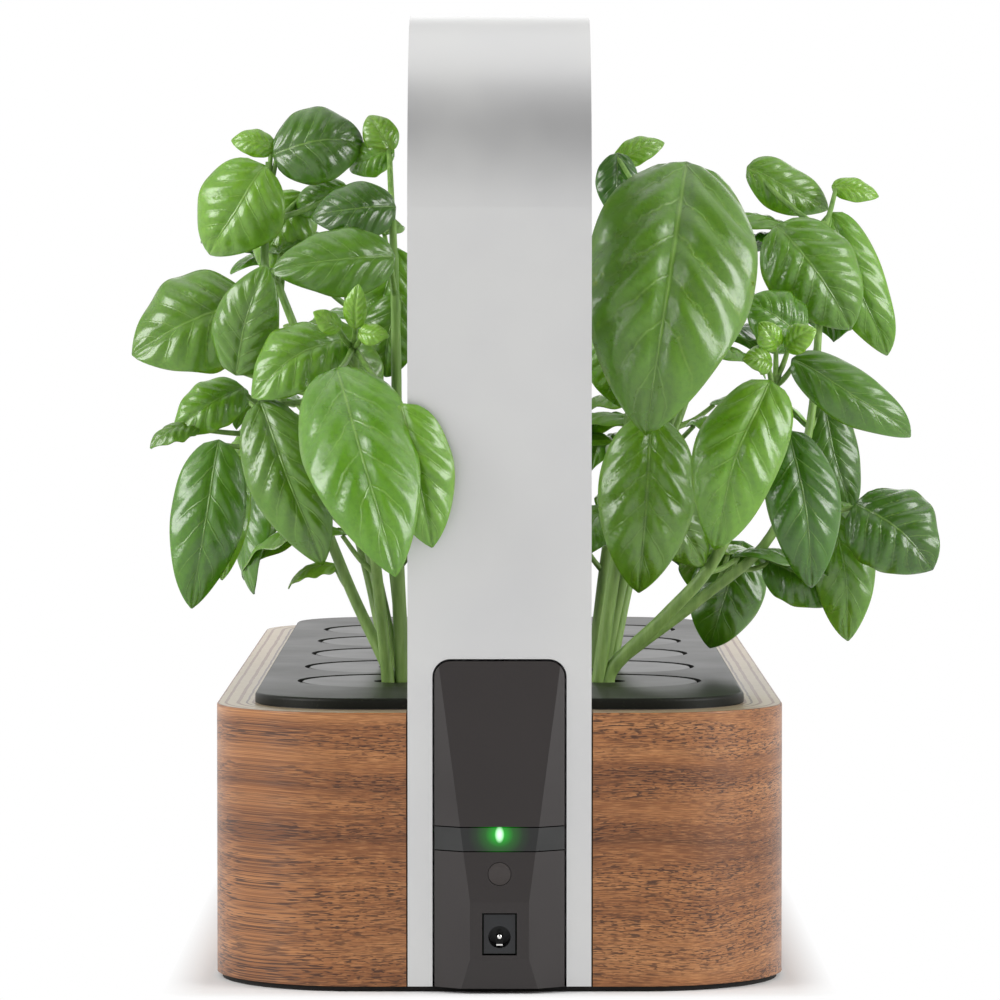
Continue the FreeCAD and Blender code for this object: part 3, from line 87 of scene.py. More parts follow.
class Nodes:
    """Short ways to add and join the nodes of a tree."""

    def __init__(self, tree):
        self.tree = tree

    def join(self, source, target):
        self.tree.links.new(source, target)

    def feed(self, socket, value):
        """Set a socket, or link it when the value is another socket."""
        if isinstance(value, bpy.types.NodeSocket):
            self.join(value, socket)
        else:
            socket.default_value = value

    def add(self, kind, inputs=None, **settings):
        """New node with its settings, and its inputs fed by name or number."""
        node = self.tree.nodes.new(kind)
        for key, value in settings.items():
            setattr(node, key, value)
        for key, value in (inputs or {}).items():
            self.feed(node.inputs[key], value)
        return node

    def math(self, operation, *values, clamp=False):
        node = self.add("ShaderNodeMath", dict(enumerate(values)), operation=operation, use_clamp=clamp)
        return node.outputs[0]

    def plus(self, a, b):
        return self.math("ADD", a, b)

    def minus(self, a, b, clamp=False):
        return self.math("SUBTRACT", a, b, clamp=clamp)

    def times(self, a, b, clamp=False):
        return self.math("MULTIPLY", a, b, clamp=clamp)

    def over(self, a, b):
        return self.math("DIVIDE", a, b)

    def most(self, a, b):
        return self.math("MAXIMUM", a, b)

    def size(self, a):
        return self.math("ABSOLUTE", a)

    def reach(self, a, b):
        """Distance from the origin of a place given by two coordinates."""
        return self.math("SQRT", self.plus(self.times(a, a), self.times(b, b)))

    def past(self, coordinate, limit):
        """How far a coordinate lies past a limit, on either side of the origin."""
        return self.most(self.minus(self.size(coordinate), limit), 0.0)

    def object_point(self):
        return self.add("ShaderNodeTexCoord").outputs["Object"]

    def split(self, vector):
        """The three coordinates of a vector."""
        return tuple(self.add("ShaderNodeSeparateXYZ", {0: vector}).outputs)

    def combine(self, x, y, z):
        return self.add("ShaderNodeCombineXYZ", {0: x, 1: y, 2: z}).outputs[0]

    def scaled(self, vector, x, y, z):
        node = self.add("ShaderNodeVectorMath", {0: vector, 1: (x, y, z)}, operation="MULTIPLY")
        return node.outputs[0]

    def noise(self, vector, scale=1.0, detail=4.0, roughness=0.5, distortion=0.0):
        return self.add("ShaderNodeTexNoise", {
            "Vector": vector,
            "Scale": scale,
            "Detail": detail,
            "Roughness": roughness,
            "Distortion": distortion,
        }).outputs["Fac"]

    def ramp(self, factor, stops, interpolation="LINEAR"):
        node = self.add("ShaderNodeValToRGB", {"Fac": factor})
        ramp = node.color_ramp
        ramp.interpolation = interpolation
        while len(ramp.elements) < len(stops):
            ramp.elements.new(0.5)
        for element, (place, colour) in zip(ramp.elements, stops):
            element.position = place
            element.color = colour
        return node.outputs["Color"]

    def span(self, value, low, high, new_low=0.0, new_high=1.0):
        """Move the range from low to high onto the new range, and stop at its ends."""
        return self.add("ShaderNodeMapRange", {
            "Value": value,
            "From Min": low,
            "From Max": high,
            "To Min": new_low,
            "To Max": new_high,
        }).outputs["Result"]

    def vary(self, noise, low=0.0, high=1.0):
        """Spread the usual range of a noise from low to high."""
        return self.span(noise, NOISE_LOW, NOISE_HIGH, low, high)

    def mix(self, factor, a, b, blend="MIX"):
        """Colour a where the factor is 0 and b where it is 1."""
        node = self.add("ShaderNodeMix", {0: factor, 6: a, 7: b}, data_type="RGBA", blend_type=blend)
        return node.outputs[2]

    def bump(self, height, strength, distance):
        inputs = {"Height": height, "Strength": strength, "Distance": distance}
        return self.add("ShaderNodeBump", inputs).outputs["Normal"]


class Shader(Nodes):
    """A node material with its main shader."""

    def __init__(self, name):
        self.material = bpy.data.materials.new(name)
        self.material.use_nodes = True
        super().__init__(self.material.node_tree)
        self.surface = self.tree.nodes["Principled BSDF"]

    def set(self, **values):
        """Feed inputs of the main shader; their names have _ for each space."""
        for key, value in values.items():
            self.feed(self.surface.inputs[key.replace("_", " ")], value)


# Wood

WALL = 12 * MM
FACE_SKIN = 0.28 * MM
VENEER_WAVE = 22 * MM

# Noises of the veneer: scale along the grain, scale up the face, seed, detail and roughness
WALNUT_NOISES = {
    "drift": (6.0, 9.0, 3.0, 2.0, 0.5),
    "figure": (3.6, 120.0, 7.0, 6.0, 0.65),
    "broad": (2.5, 34.0, 2.0, 2.0, 0.5),
    "fine": (60.0, 1500.0, 1.0, 3.0, 0.6),
    "hair": (190.0, 3800.0, 4.0, 2.0, 0.6),
    "pore_fields": (16.0, 150.0, 5.0, 2.0, 0.5),
    "short_pores": (420.0, 2600.0, 11.0, 1.0, 0.5),
    "long_pores": (190.0, 2000.0, 23.0, 1.0, 0.5),
}
FIGURE_SHARE = 0.70
BROAD_SHARE = 0.30
WALNUT_TONES = (
    (0.34, linear(84, 48, 26)),
    (0.43, linear(126, 78, 44)),
    (0.50, linear(154, 100, 58)),
    (0.57, linear(172, 116, 70)),
    (0.68, linear(198, 142, 92)),
)

# Streaks over the tones: noise, where it begins and is full, how much it covers, colour
WALNUT_STREAKS = (
    ("fine", 0.38, 0.66, 0.55, linear(104, 62, 36)),
    ("hair", 0.46, 0.62, 0.45, linear(98, 60, 38)),
    ("hair", 0.50, 0.34, 0.35, linear(206, 150, 100)),
)

# Pores: where in their noises a field of them and a pore itself begin and are full
PORE_FIELD = (0.34, 0.54)
PORE_EDGE = (0.57, 0.62)
PORE_BROWN = linear(58, 36, 27)
PORE_COVER = 0.85
PORE_SINK = 1.6

PLY_VENEER = linear(104, 68, 46)
PLY_CREAM = linear(180, 164, 136)
PLY_TAN = linear(122, 88, 64)
PLY_DARK = linear(80, 54, 40)
PLY_FIBRE = linear(132, 104, 78)

# Where each ply begins, as a share of PLY_SPAN in from the outer face
PLY_SPAN = 13 * MM
PLIES = (
    (0.0, PLY_VENEER),
    (0.05, PLY_CREAM),
    (0.17, PLY_TAN),
    (0.235, PLY_CREAM),
    (0.44, PLY_TAN),
    (0.52, PLY_CREAM),
    (0.65, PLY_DARK),
    (0.70, PLY_CREAM),
    (0.79, PLY_TAN),
    (0.85, PLY_CREAM),
    (0.905, PLY_VENEER),
)
PLY_STRAY = 0.9 * MM


def walnut_face(m, run, height):
    """Colour, figure and relief of the face veneer; run goes along the grain."""
    def grain(name, level):
        along, up, seed, detail, roughness = WALNUT_NOISES[name]
        place = m.combine(m.times(run, along), m.times(level, up), seed)
        return m.noise(place, 1.0, detail, roughness)

    level = m.plus(height, m.times(grain("drift", height), VENEER_WAVE))
    grains = {name: grain(name, level) for name in WALNUT_NOISES if name != "drift"}
    tone = m.plus(m.times(grains["figure"], FIGURE_SHARE), m.times(grains["broad"], BROAD_SHARE))
    colour = m.ramp(tone, WALNUT_TONES)
    for name, begin, full, cover, streak in WALNUT_STREAKS:
        colour = m.mix(m.span(grains[name], begin, full, 0.0, cover), colour, streak)
    field = m.span(grains["pore_fields"], *PORE_FIELD)
    short_pores = m.times(m.span(grains["short_pores"], *PORE_EDGE), field)
    long_pores = m.times(m.span(grains["long_pores"], *PORE_EDGE), field)
    pores = m.most(short_pores, long_pores)
    colour = m.mix(m.times(pores, PORE_COVER, clamp=True), colour, PORE_BROWN)
    relief = m.minus(grains["fine"], m.times(pores, PORE_SINK))
    return colour, grains["figure"], relief


def ply_edges(m, point, depth):
    """Colour of the cut edges, ply after ply."""
    stray = m.noise(m.scaled(point, 70.0, 70.0, 70.0), 1.0, 3.0, 0.6)
    bent_depth = m.plus(depth, m.times(m.minus(stray, 0.5), PLY_STRAY))
    plies = m.ramp(m.over(bent_depth, PLY_SPAN), PLIES, "CONSTANT")
    fibre = m.noise(m.scaled(point, 500.0, 500.0, 120.0), 1.0, 4.0, 0.7)
    return m.mix(m.span(fibre, 0.35, 0.80, 0.0, 0.5), plies, PLY_FIBRE)


def walnut_plywood():
    """Walnut veneer on the faces, and plies on every cut edge."""
    m = Shader("walnut_plywood")
    point = m.object_point()
    x, y, z = m.split(point)
    corner_x = m.past(x, body_half_x - corner_radius)
    corner_y = m.past(y, body_half_y - corner_radius)
    depth = m.minus(corner_radius, m.reach(corner_x, corner_y))
    colour, figure, relief = walnut_face(m, m.plus(x, y), z)
    on_edge = m.math("LESS_THAN", m.size(m.minus(depth, WALL / 2)), WALL / 2 - FACE_SKIN)
    m.set(
        Base_Color=m.mix(on_edge, colour, ply_edges(m, point, depth)),
        Roughness=m.vary(figure, 0.46, 0.36),
        Normal=m.bump(relief, 0.22, 0.25 * MM),
        Specular_IOR_Level=0.3,
        Coat_Weight=0.18,
        Coat_Roughness=0.25,
    )
    return m.material


# Metals and plastics

def satin_arch():
    """Satin aluminium of the arch."""
    m = Shader("satin_arch")
    point = m.object_point()
    grain = m.noise(point, 2600.0, 2.0, 0.6)
    cloud = m.noise(point, 30.0, 2.0, 0.5)
    m.set(
        Base_Color=m.mix(m.span(cloud, 0.35, 0.65), linear(208, 208, 208), linear(212, 212, 211)),
        Roughness=m.vary(cloud, 0.34, 0.40),
        Normal=m.bump(grain, 0.16, 0.06 * MM),
        Metallic=0.75,
    )
    return m.material


def fine_plastic(name, colour, rough=0.5, speckle=0.08, grain=1800.0, strength=0.12, specular=0.5):
    """Moulded plastic with a fine spark-eroded texture."""
    m = Shader(name)
    point = m.object_point()
    dots = m.noise(point, grain, 2.0, 0.6)
    cloud = m.noise(point, 45.0, 3.0, 0.5)
    blend = m.plus(m.times(dots, 0.6), m.times(cloud, 0.4))
    m.set(
        Base_Color=m.mix(m.vary(blend), tinted(colour, 1 - speckle), tinted(colour, 1 + speckle)),
        Roughness=m.vary(cloud, rough - 0.04, rough + 0.04),
        Normal=m.bump(dots, strength, 0.08 * MM),
        Specular_IOR_Level=specular,
    )
    return m.material


def deck_gloss(name, rough):
    """Smooth dark plastic of the deck and its covers, with scattered paler grains."""
    m = Shader(name)
    point = m.object_point()
    smear = m.noise(point, 22.0, 4.0, 0.6)
    grain = m.noise(point, 1300.0, 2.0, 0.6)
    m.set(
        Base_Color=m.mix(m.span(grain, 0.62, 0.74), linear(20, 21, 14), linear(40, 41, 30)),
        Roughness=m.vary(smear, rough - 0.04, rough + 0.05),
        Normal=m.bump(grain, 0.22, 0.05 * MM),
        Specular_IOR_Level=0.20,
    )
    return m.material


def brushed_metal(name, colour, rough=0.32, lines=(40.0, 40.0, 1800.0)):
    """Metal with fine lines; lines holds how dense they are along x, y and z."""
    m = Shader(name)
    streaks = m.noise(m.scaled(m.object_point(), *lines), 1.0, 3.0, 0.6)
    m.set(
        Base_Color=m.mix(m.vary(streaks), colour, tinted(colour, 0.86)),
        Roughness=m.vary(streaks, rough - 0.06, rough + 0.08),
        Normal=m.bump(streaks, 0.08, 0.05 * MM),
        Metallic=1.0,
    )
    return m.material


# Half width and half height of the lamp's bright core and of its halo
GLOW_CORE = (1.4 * MM, 2.5 * MM)
GLOW_HALO = (9.0 * MM, 8.0 * MM)
GLOW_RISE = 1.4 * MM
# Height of the band of painted gap shade along the window's top and bottom edges
WINDOW_GAP_SHADE = 0.3 * MM
BLACK = grey(0.0)
CORE_TONES = ((0.0, grey(1.0)), (0.45, (0.75, 1.0, 0.80, 1.0)), (1.0, BLACK))
HALO_TONES = (
    (0.0, (0.0, 0.70, 0.05, 1.0)),
    (0.20, (0.0, 0.36, 0.01, 1.0)),
    (0.45, (0.0, 0.10, 0.0, 1.0)),
    (0.75, (0.0, 0.02, 0.0, 1.0)),
    (1.0, BLACK),
)


def indicator_glass():
    """Smoked strip with the lamp's green glow near its middle, and painted shade of the gaps above and
    below it.
    """
    m = Shader("indicator_glass")
    point = m.object_point()
    x, _, z = m.split(point)
    middle = (window_low.z + window_high.z) / 2
    half_height = (window_high.z - window_low.z) / 2
    from_lamp = m.minus(z, middle + GLOW_RISE)
    core = m.reach(m.over(x, GLOW_CORE[0]), m.over(from_lamp, GLOW_CORE[1]))
    halo = m.reach(m.over(x, GLOW_HALO[0]), m.over(from_lamp, GLOW_HALO[1]))
    smear = m.noise(point, 60.0, 3.0, 0.5)
    # Painted shade of the gaps above and below the window: black, with no reflection
    gap_shade = m.math("GREATER_THAN", m.size(m.minus(z, middle)), half_height - WINDOW_GAP_SHADE)
    smoke = m.mix(m.vary(smear), linear(8, 10, 9), linear(13, 15, 14))
    m.set(
        Base_Color=m.mix(gap_shade, smoke, BLACK),
        Roughness=m.vary(smear, 0.26, 0.34),
        Specular_IOR_Level=m.span(gap_shade, 0.0, 1.0, 0.6, 0.0),
        Emission_Color=m.mix(1.0, m.ramp(halo, HALO_TONES), m.ramp(core, CORE_TONES), "ADD"),
        Emission_Strength=1.0,
    )
    return m.material


def circuit_board(name, mask, trace):
    """Solder mask with a net of lines."""
    m = Shader(name)
    point = m.object_point()
    cells = m.add("ShaderNodeTexBrick", {
        "Vector": m.scaled(point, 260.0, 260.0, 260.0),
        "Color1": mask,
        "Color2": mask,
        "Mortar": trace,
        "Mortar Size": 0.03,
    })
    m.set(Base_Color=cells.outputs["Color"], Roughness=m.vary(m.noise(point, 300.0), 0.3, 0.45))
    return m.material


def fibre_plug():
    """Matted brown fibre of the grow plugs."""
    m = Shader("fibre_plug")
    fibres = m.noise(m.scaled(m.object_point(), 900.0, 900.0, 1500.0), 1.0, 6.0, 0.7, 0.6)
    tones = ((0.3, linear(38, 24, 14)), (0.55, linear(82, 56, 34)), (0.75, linear(124, 92, 60)))
    m.set(Base_Color=m.ramp(fibres, tones), Normal=m.bump(fibres, 0.8, 0.8 * MM), Roughness=0.95)
    return m.material


def frosted(name, colour):
    """Milky plastic, resin or silicone."""
    m = Shader(name)
    fog = m.noise(m.object_point(), 700.0, 2.0, 0.5)
    m.set(
        Base_Color=m.mix(m.vary(fog), colour, tinted(colour, 1.06)),
        Roughness=m.vary(fog, 0.42, 0.55),
        Normal=m.bump(fog, 0.10, 0.05 * MM),
    )
    return m.material


# Leaf and stem surfaces

# Side veins on each half, their sweep to the tip and their bend. The leaves' mesh shares these three
LATERAL_VEINS = 6.5
VEIN_SWEEP = 0.26
VEIN_BEND = 0.85

# Half width of a side vein against the gap between veins, and how much veins show
VEIN_HALF = 0.06
VEIN_COVER = 0.50
SIDE_VEIN_SHARE = 0.55

# Half width of the midrib at the stalk, and what it loses on the way to the tip
MIDRIB_HALF = 0.045
MIDRIB_TAPER = 0.03

OLD_GREENS = (
    (0.15, linear(36, 76, 4)),
    (0.42, linear(62, 110, 8)),
    (0.66, linear(90, 140, 20)),
    (0.95, linear(124, 170, 44)),
)
YOUNG_GREEN = linear(142, 188, 50)
DEEP_GREEN = linear(30, 72, 8)
VEIN_GREEN = linear(150, 188, 88)
STEM_GREENS = ((0.3, linear(88, 128, 48)), (0.55, linear(122, 160, 74)), (0.8, linear(150, 184, 104)))
STEM_FOOT_GREEN = linear(160, 178, 112)


def leaf_veins(m, u, v, point):
    """1 on the midrib, less on a side vein and 0 between them."""
    side = m.size(m.minus(m.times(v, 2.0), 1.0))
    wobble = m.times(m.minus(m.noise(point, 90.0, 2.0), 0.5), 0.10)
    swept = m.minus(m.plus(u, wobble), m.times(m.math("POWER", side, VEIN_BEND), VEIN_SWEEP))
    from_middle = m.size(m.minus(m.math("FRACT", m.times(swept, LATERAL_VEINS)), 0.5))
    side_vein = m.minus(1.0, m.over(m.minus(0.5, from_middle), VEIN_HALF), clamp=True)
    side_vein = m.times(side_vein, m.span(side, 0.95, 0.30))
    midrib_half = m.minus(MIDRIB_HALF, m.times(u, MIDRIB_TAPER))
    midrib = m.minus(1.0, m.over(side, midrib_half), clamp=True)
    return m.most(m.times(side_vein, SIDE_VEIN_SHARE), midrib)


def leaf_surface():
    """Basil leaf. Its first map runs along and across, and its second holds each leaf's shade and youth."""
    m = Shader("basil_leaf")
    u, v, _ = m.split(m.add("ShaderNodeUVMap", uv_map="leaf").outputs[0])
    shade, youth, _ = m.split(m.add("ShaderNodeUVMap", uv_map="tone").outputs[0])
    point = m.object_point()
    veins = leaf_veins(m, u, v, point)
    mottled = m.noise(point, 60.0, 4.0, 0.6)
    fine = m.noise(point, 700.0, 3.0, 0.6)
    tone = m.plus(m.times(mottled, 0.45), m.times(shade, 0.55))
    colour = m.mix(youth, m.ramp(tone, OLD_GREENS), YOUNG_GREEN)
    colour = m.mix(m.times(m.span(fine, 0.45, 0.75), 0.25), colour, DEEP_GREEN)
    colour = m.mix(m.times(veins, VEIN_COVER), colour, VEIN_GREEN)
    height = m.plus(m.times(fine, 0.45), m.times(veins, -1.0))
    m.set(
        Base_Color=colour,
        Roughness=m.vary(mottled, 0.24, 0.36),
        Normal=m.bump(height, 0.50, 0.40 * MM),
        Specular_IOR_Level=0.6,
        Coat_Weight=0.35,
        Coat_Roughness=0.14,
        Subsurface_Weight=0.25,
        Subsurface_Radius=(0.9 * MM, 1.6 * MM, 0.3 * MM),
        Subsurface_Scale=1.0,
    )
    return m.material


def stem_surface():
    """Streaked green stem, paler at the foot."""
    m = Shader("basil_stem")
    point = m.object_point()
    streaks = m.noise(m.scaled(point, 500.0, 500.0, 60.0), 1.0, 4.0, 0.6)
    height = m.split(point)[2]
    foot = m.span(height, 0.20, 0.09)
    m.set(
        Base_Color=m.mix(m.times(foot, 0.25, clamp=True), m.ramp(streaks, STEM_GREENS), STEM_FOOT_GREEN),
        Roughness=m.vary(streaks, 0.42, 0.56),
        Normal=m.bump(streaks, 0.25, 0.2 * MM),
        Subsurface_Weight=0.15,
        Subsurface_Radius=(0.8 * MM, 1.2 * MM, 0.3 * MM),
        Subsurface_Scale=1.0,
    )
    return m.material


# Materials of the frame's own pieces

STEEL = (0.6, 0.6, 0.62, 1.0)
NICKEL = (0.85, 0.84, 0.82, 1.0)
ALUMINIUM = (0.8, 0.8, 0.82, 1.0)


def dress(material, *names):
    """Give a material to whole nodes."""
    for name in names:
        mesh = nodes[name].data
        mesh.materials.clear()
        mesh.materials.append(material)


def starting(prefix):
    return [name for name in nodes if name.startswith(prefix)]


def dress_box():
    dress(walnut_plywood(), "wood_shell_left", "wood_shell_right")
    dress(fine_plastic("foot_rubber", linear(28, 26, 25), 0.75, 0.2, 900.0, 0.3, 0.3), "foot_pad")
    dress(fine_plastic("inner_plastic", linear(30, 30, 30), 0.55), "base_tray", "reservoir_tank")
    dress(deck_gloss("deck_gloss", 0.42), "grow_deck")
    dress(deck_gloss("cover_gloss", 0.36), *starting("pod_cover"))
    dress(fine_plastic("cup_plastic", linear(32, 32, 32), 0.6), *starting("net_cup"))
    dress(fibre_plug(), "grow_plugs")
    screws = ("wood_screws", "arch_screws", "board_screws", "pump_shaft")
    dress(brushed_metal("screw_steel", STEEL), *screws)


def dress_arch():
    dress(satin_arch(), "arch_shell")
    dress(fine_plastic("liner_plastic", linear(196, 197, 198), 0.5), "arch_liner")
    dress(brushed_metal("raw_aluminium", ALUMINIUM, 0.3, (1200.0, 30.0, 1200.0)), "heat_plate")
    dress(circuit_board("light_board_mask", linear(230, 230, 226), linear(205, 205, 200)), "light_board")
    dress(frosted("chip_phosphor", linear(236, 214, 110)), "light_chips")
    dress(frosted("diffuser_frost", linear(232, 234, 236)), "light_diffuser")
    dress(fine_plastic("wire_jacket", linear(26, 26, 28), 0.5), "light_wiring", "button_switch")


def dress_panel():
    panel = fine_plastic("panel_plastic", linear(34, 28, 27), 0.36, 0.10, 2400.0, 0.15, 0.5)
    dress(panel, "panel_upper", "panel_lower")
    dress(fine_plastic("button_plastic", linear(50, 44, 42), 0.38, 0.06), "power_button")
    dress(indicator_glass(), "indicator_window")
    dress(frosted("lamp_green", linear(60, 210, 90)), "indicator_lamp")
    dress(fine_plastic("socket_plastic", linear(24, 25, 28), 0.38, 0.05), "socket_housing")
    dress(brushed_metal("nickel", NICKEL, 0.16), "socket_pin", "socket_spring")
    dress(circuit_board("control_board_mask", linear(26, 92, 48), linear(60, 130, 78)), "control_board")


def dress_water():
    dress(fine_plastic("pump_plastic", linear(36, 38, 42), 0.5), "pump_housing", "pump_cover")
    white = fine_plastic("white_plastic", linear(222, 222, 216), 0.5, 0.04)
    dress(white, "pump_impeller", "float_post", "float_ring")
    dress(frosted("hose_silicone", linear(196, 202, 204)), "pump_hose")


# Basil plants, in the same places as the solids that they replace

DRAWN_PITCH = 63.0
DRAWN_DECK_TOP = 83.3
ROWS = 5
PLANTED_ROWS = 2
SIDES = {"left": -1, "right": 1}
FACINGS = {
    "front": (0.0, -1.0, 0.35),
    "left": (-0.7, -0.5, 0.5),
    "up": (0.0, -0.35, 1.0),
}

# Main stems of the front plants: points and the radius at the foot and the end
STEMS = {
    ("left", 1): (
        (((-33, -128, 78), (-34, -129, 87), (-37, -135, 117), (-41, -150, 155),
          (-43, -172, 186)), 2.2, 1.2),
        (((-33, -124, 78), (-34, -124, 87), (-47, -120, 115), (-65, -122, 165), (-71, -116, 205),
          (-70, -112, 240)), 2.1, 1.1),
        (((-29, -127, 78), (-31, -131, 130), (-31, -133, 180), (-32, -136, 222)), 2.4, 1.1),
    ),
    ("right", 1): (
        (((33, -127, 78), (34, -127, 87), (50, -130, 103), (65, -135, 121), (76, -150, 150),
          (82, -163, 177)), 2.5, 1.4),
        (((29, -127, 78), (36, -131, 125), (46, -141, 180), (55, -156, 237)), 2.2, 1.3),
        (((33, -123, 78), (34, -123, 87), (60, -121, 107), (82, -124, 127), (94, -119, 160),
          (99, -104, 222)), 2.1, 1.1),
    ),
}

# Leaves that show from the front: base, tip, width, bow and the way the face looks
LEAVES = {
    ("left", 1): (
        ((-69, -112, 242), (-40, -108, 246), 25, 6, "front"),
        ((-71, -117, 239), (-89, -116, 211), 28, 5, "front"),
        ((-31, -148, 211), (-68, -156, 207), 22, 5, "front"),
        ((-74, -140, 198), (-110, -146, 182), 33, 5, "front"),
        ((-78, -160, 176), (-69, -168, 209), 20, 3, "front"),
        ((-46, -172, 187), (-73, -182, 170), 22, 5, "front"),
        ((-47, -204, 179), (-29, -243, 121), 33, 9, "front"),
        ((-28, -219, 169), (-19, -226, 128), 22, 3, "front"),
        ((-70, -180, 169), (-51, -192, 121), 23, 5, "front"),
        ((-83, -158, 157), (-91, -166, 107), 22, 5, "front"),
        ((-80, -146, 153), (-83, -150, 114), 14, 3, "front"),
        ((-72, -118, 146), (-75, -124, 109), 18, 4, "left"),
        ((-77, -130, 172), (-98, -134, 158), 16, 4, "front"),
        ((-90, -134, 160), (-105, -138, 154), 12, 3, "left"),
        ((-31, -134, 226), (-57, -138, 223), 19, 5, "front"),
        ((-60, -98, 231), (-74, -100, 207), 20, 4, "front"),
        ((-33, -110, 243), (-40, -108, 255), 11, 2, "front"),
        ((-49, -92, 116), (-66, -94, 110), 10, 3, "up"),
        ((-42, -186, 190), (-41, -190, 203), 7, 1, "front"),
        ((-41, -188, 189), (-32, -192, 188), 7, 1, "front"),
        ((-46, -187, 190), (-54, -190, 195), 7, 1, "front"),
        ((-60, -140, 190), (-36, -136, 163), 26, 5, "front"),
        ((-66, -112, 185), (-96, -96, 178), 24, 5, "up"),
        ((-60, -100, 160), (-88, -82, 140), 25, 6, "left"),
        ((-32, -110, 244), (-47, -106, 238), 12, 3, "front"),
        ((-31, -104, 214), (-38, -100, 186), 20, 4, "front"),
        ((-30, -118, 200), (-35, -112, 174), 18, 4, "front"),
        ((-76, -108, 168), (-99, -98, 160), 18, 4, "left"),
        ((-66, -105, 135), (-80, -98, 112), 16, 4, "left"),
        ((-68, -110, 244), (-82, -108, 247), 9, 2, "front"),
        ((-46, -104, 232), (-63, -102, 225), 13, 3, "front"),
    ),
    ("right", 1): (
        ((55, -166, 239), (42, -206, 160), 50, 9, "front"),
        ((76, -92, 239), (102, -88, 226), 16, 3, "front"),
        ((102, -92, 233), (117, -90, 230), 8, 2, "front"),
        ((84, -112, 221), (107, -114, 189), 29, 6, "front"),
        ((101, -96, 225), (120, -98, 180), 19, 5, "front"),
        ((92, -126, 186), (74, -132, 199), 20, 3, "front"),
        ((86, -166, 181), (123, -170, 158), 17, 6, "front"),
        ((79, -178, 175), (62, -190, 125), 26, 6, "front"),
        ((45, -158, 164), (41, -166, 111), 29, 5, "front"),
        ((85, -168, 160), (92, -178, 113), 22, 5, "front"),
        ((99, -118, 140), (106, -124, 94), 20, 4, "front"),
        ((107, -128, 137), (131, -134, 117), 28, 5, "front"),
        ((81, -114, 119), (103, -118, 106), 18, 4, "front"),
        ((75, -94, 124), (64, -98, 90), 23, 5, "front"),
        ((98, -114, 168), (107, -118, 133), 16, 4, "front"),
        ((82, -168, 184), (76, -174, 192), 9, 2, "front"),
        ((84, -168, 184), (93, -172, 190), 9, 2, "front"),
        ((80, -170, 180), (71, -176, 181), 9, 2, "front"),
        ((40, -140, 150), (62, -136, 118), 24, 5, "front"),
        ((56, -120, 205), (80, -104, 196), 24, 5, "up"),
        ((35, -98, 240), (51, -96, 247), 9, 2, "front"),
        ((36, -104, 243), (36, -108, 222), 13, 3, "front"),
        ((34, -110, 192), (37, -106, 165), 18, 4, "front"),
    ),
}

# Stems of the plants further back: lean outwards, lean along the length, height and foot radius
BACK_STEMS = (
    (20.0, 6.0, 128.0, 2.2),
    (46.0, -4.0, 146.0, 2.1),
    (34.0, 30.0, 112.0, 2.0),
)

# Gap between their feet along x and y, points on the way up, foot's height, end radius and bend
BACK_STEM_STEP = (2.5, 2)
BACK_STEM_SHARES = (0.33, 0.66, 1.0)
BACK_STEM_FOOT = 78
BACK_STEM_END = 1.1
BACK_STEM_BEND = 1.3

# Leaf pairs that fill each plant: height of the first, step up and turn from one pair to the next
WHORL_LOW = 44.0
WHORL_STEP = 27.0
WHORL_TURN = 77.0

# What each further stem adds to the first height and to the turn, and how far each side is turned
WHORL_STEM_RISE = 6
WHORL_STEM_TURN = 40
WHORL_SIDE_TURN = 25

# Their leaves in mm: length at the foot and the top, gap from the stem, rise over it and rise per pair
WHORL_LEAF = (46.0, 34.0)
WHORL_GAP = 9.0
WHORL_GAP_RISE = 3
WHORL_LEVEL_RISE = 4

# Shares of their length, and how far their faces lean outwards
WHORL_REACH = 0.9
WHORL_DROP = 0.3
WHORL_WIDTH = 0.56
WHORL_BOW = 0.14
WHORL_TILT = 0.3

# In row 1 only leaves that point back this much are added, because the front ones are placed one by one
FIRST_ROW_BACK = 0.25

# Heights between which leaves stay, and how high they go below the arch
LOWEST_LEAF = 92
HIGHEST_LEAF = 262
ARCH_UNDERSIDE = 194

# What the arch's leg takes up with its gap
LEG_ROOM = 13.5

# Distance that leaves keep from the middle plane, as a share of half their width
MIDDLE_GAP = 0.55

# Behind the first, over the free pod covers, leaves stay above the second
COVERS_FROM = -44
OVER_COVERS = 116

# Further out than the first, leaves stay below the second
OUTER_LEAF = (88, 220)

# Stalks keep this share of each stretch of a stem away from its ends
CORNER_GAP = 0.05

arch_half = arch_high.x / MM
leg_inner = arch_high.y / MM - LEG_ROOM


def mixed(a, b, share):
    return a * (1 - share) + b * share


def nearest_on(points, target):
    """Nearest place to target on a bent line, a small share of each stretch away from its corners."""
    best = None
    for a, b in zip(points, points[1:]):
        along = b - a
        share = min(max((target - a).dot(along) / along.dot(along), CORNER_GAP), 1 - CORNER_GAP)
        point = a + along * share
        if best is None or (point - target).length < (best - target).length:
            best = point
    return best


def drawn_foot(side_name, row):
    """Where a pod's middle is drawn, along x and y."""
    return SIDES[side_name] * DRAWN_PITCH / 2, (row - (ROWS + 1) / 2) * DRAWN_PITCH


def plant_stems(side_name, row):
    """Bent line, foot radius and end radius of each main stem of a plant."""
    if (side_name, row) in STEMS:
        drawn = STEMS[side_name, row]
        return [([Vector(point) for point in points], foot, end) for points, foot, end in drawn]
    side = SIDES[side_name]
    foot_x, foot_y = drawn_foot(side_name, row)
    step_x, step_y = BACK_STEM_STEP
    stems = []
    for number, (out, along, height, radius) in enumerate(BACK_STEMS):
        place = number - 1
        start = Vector((foot_x + side * place * step_x, foot_y + place * step_y, BACK_STEM_FOOT))
        points = [start]
        for share in BACK_STEM_SHARES:
            lean = share ** BACK_STEM_BEND
            points.append(start + Vector((side * out * lean, along * lean, height * share)))
        stems.append((points, radius, BACK_STEM_END))
    return stems


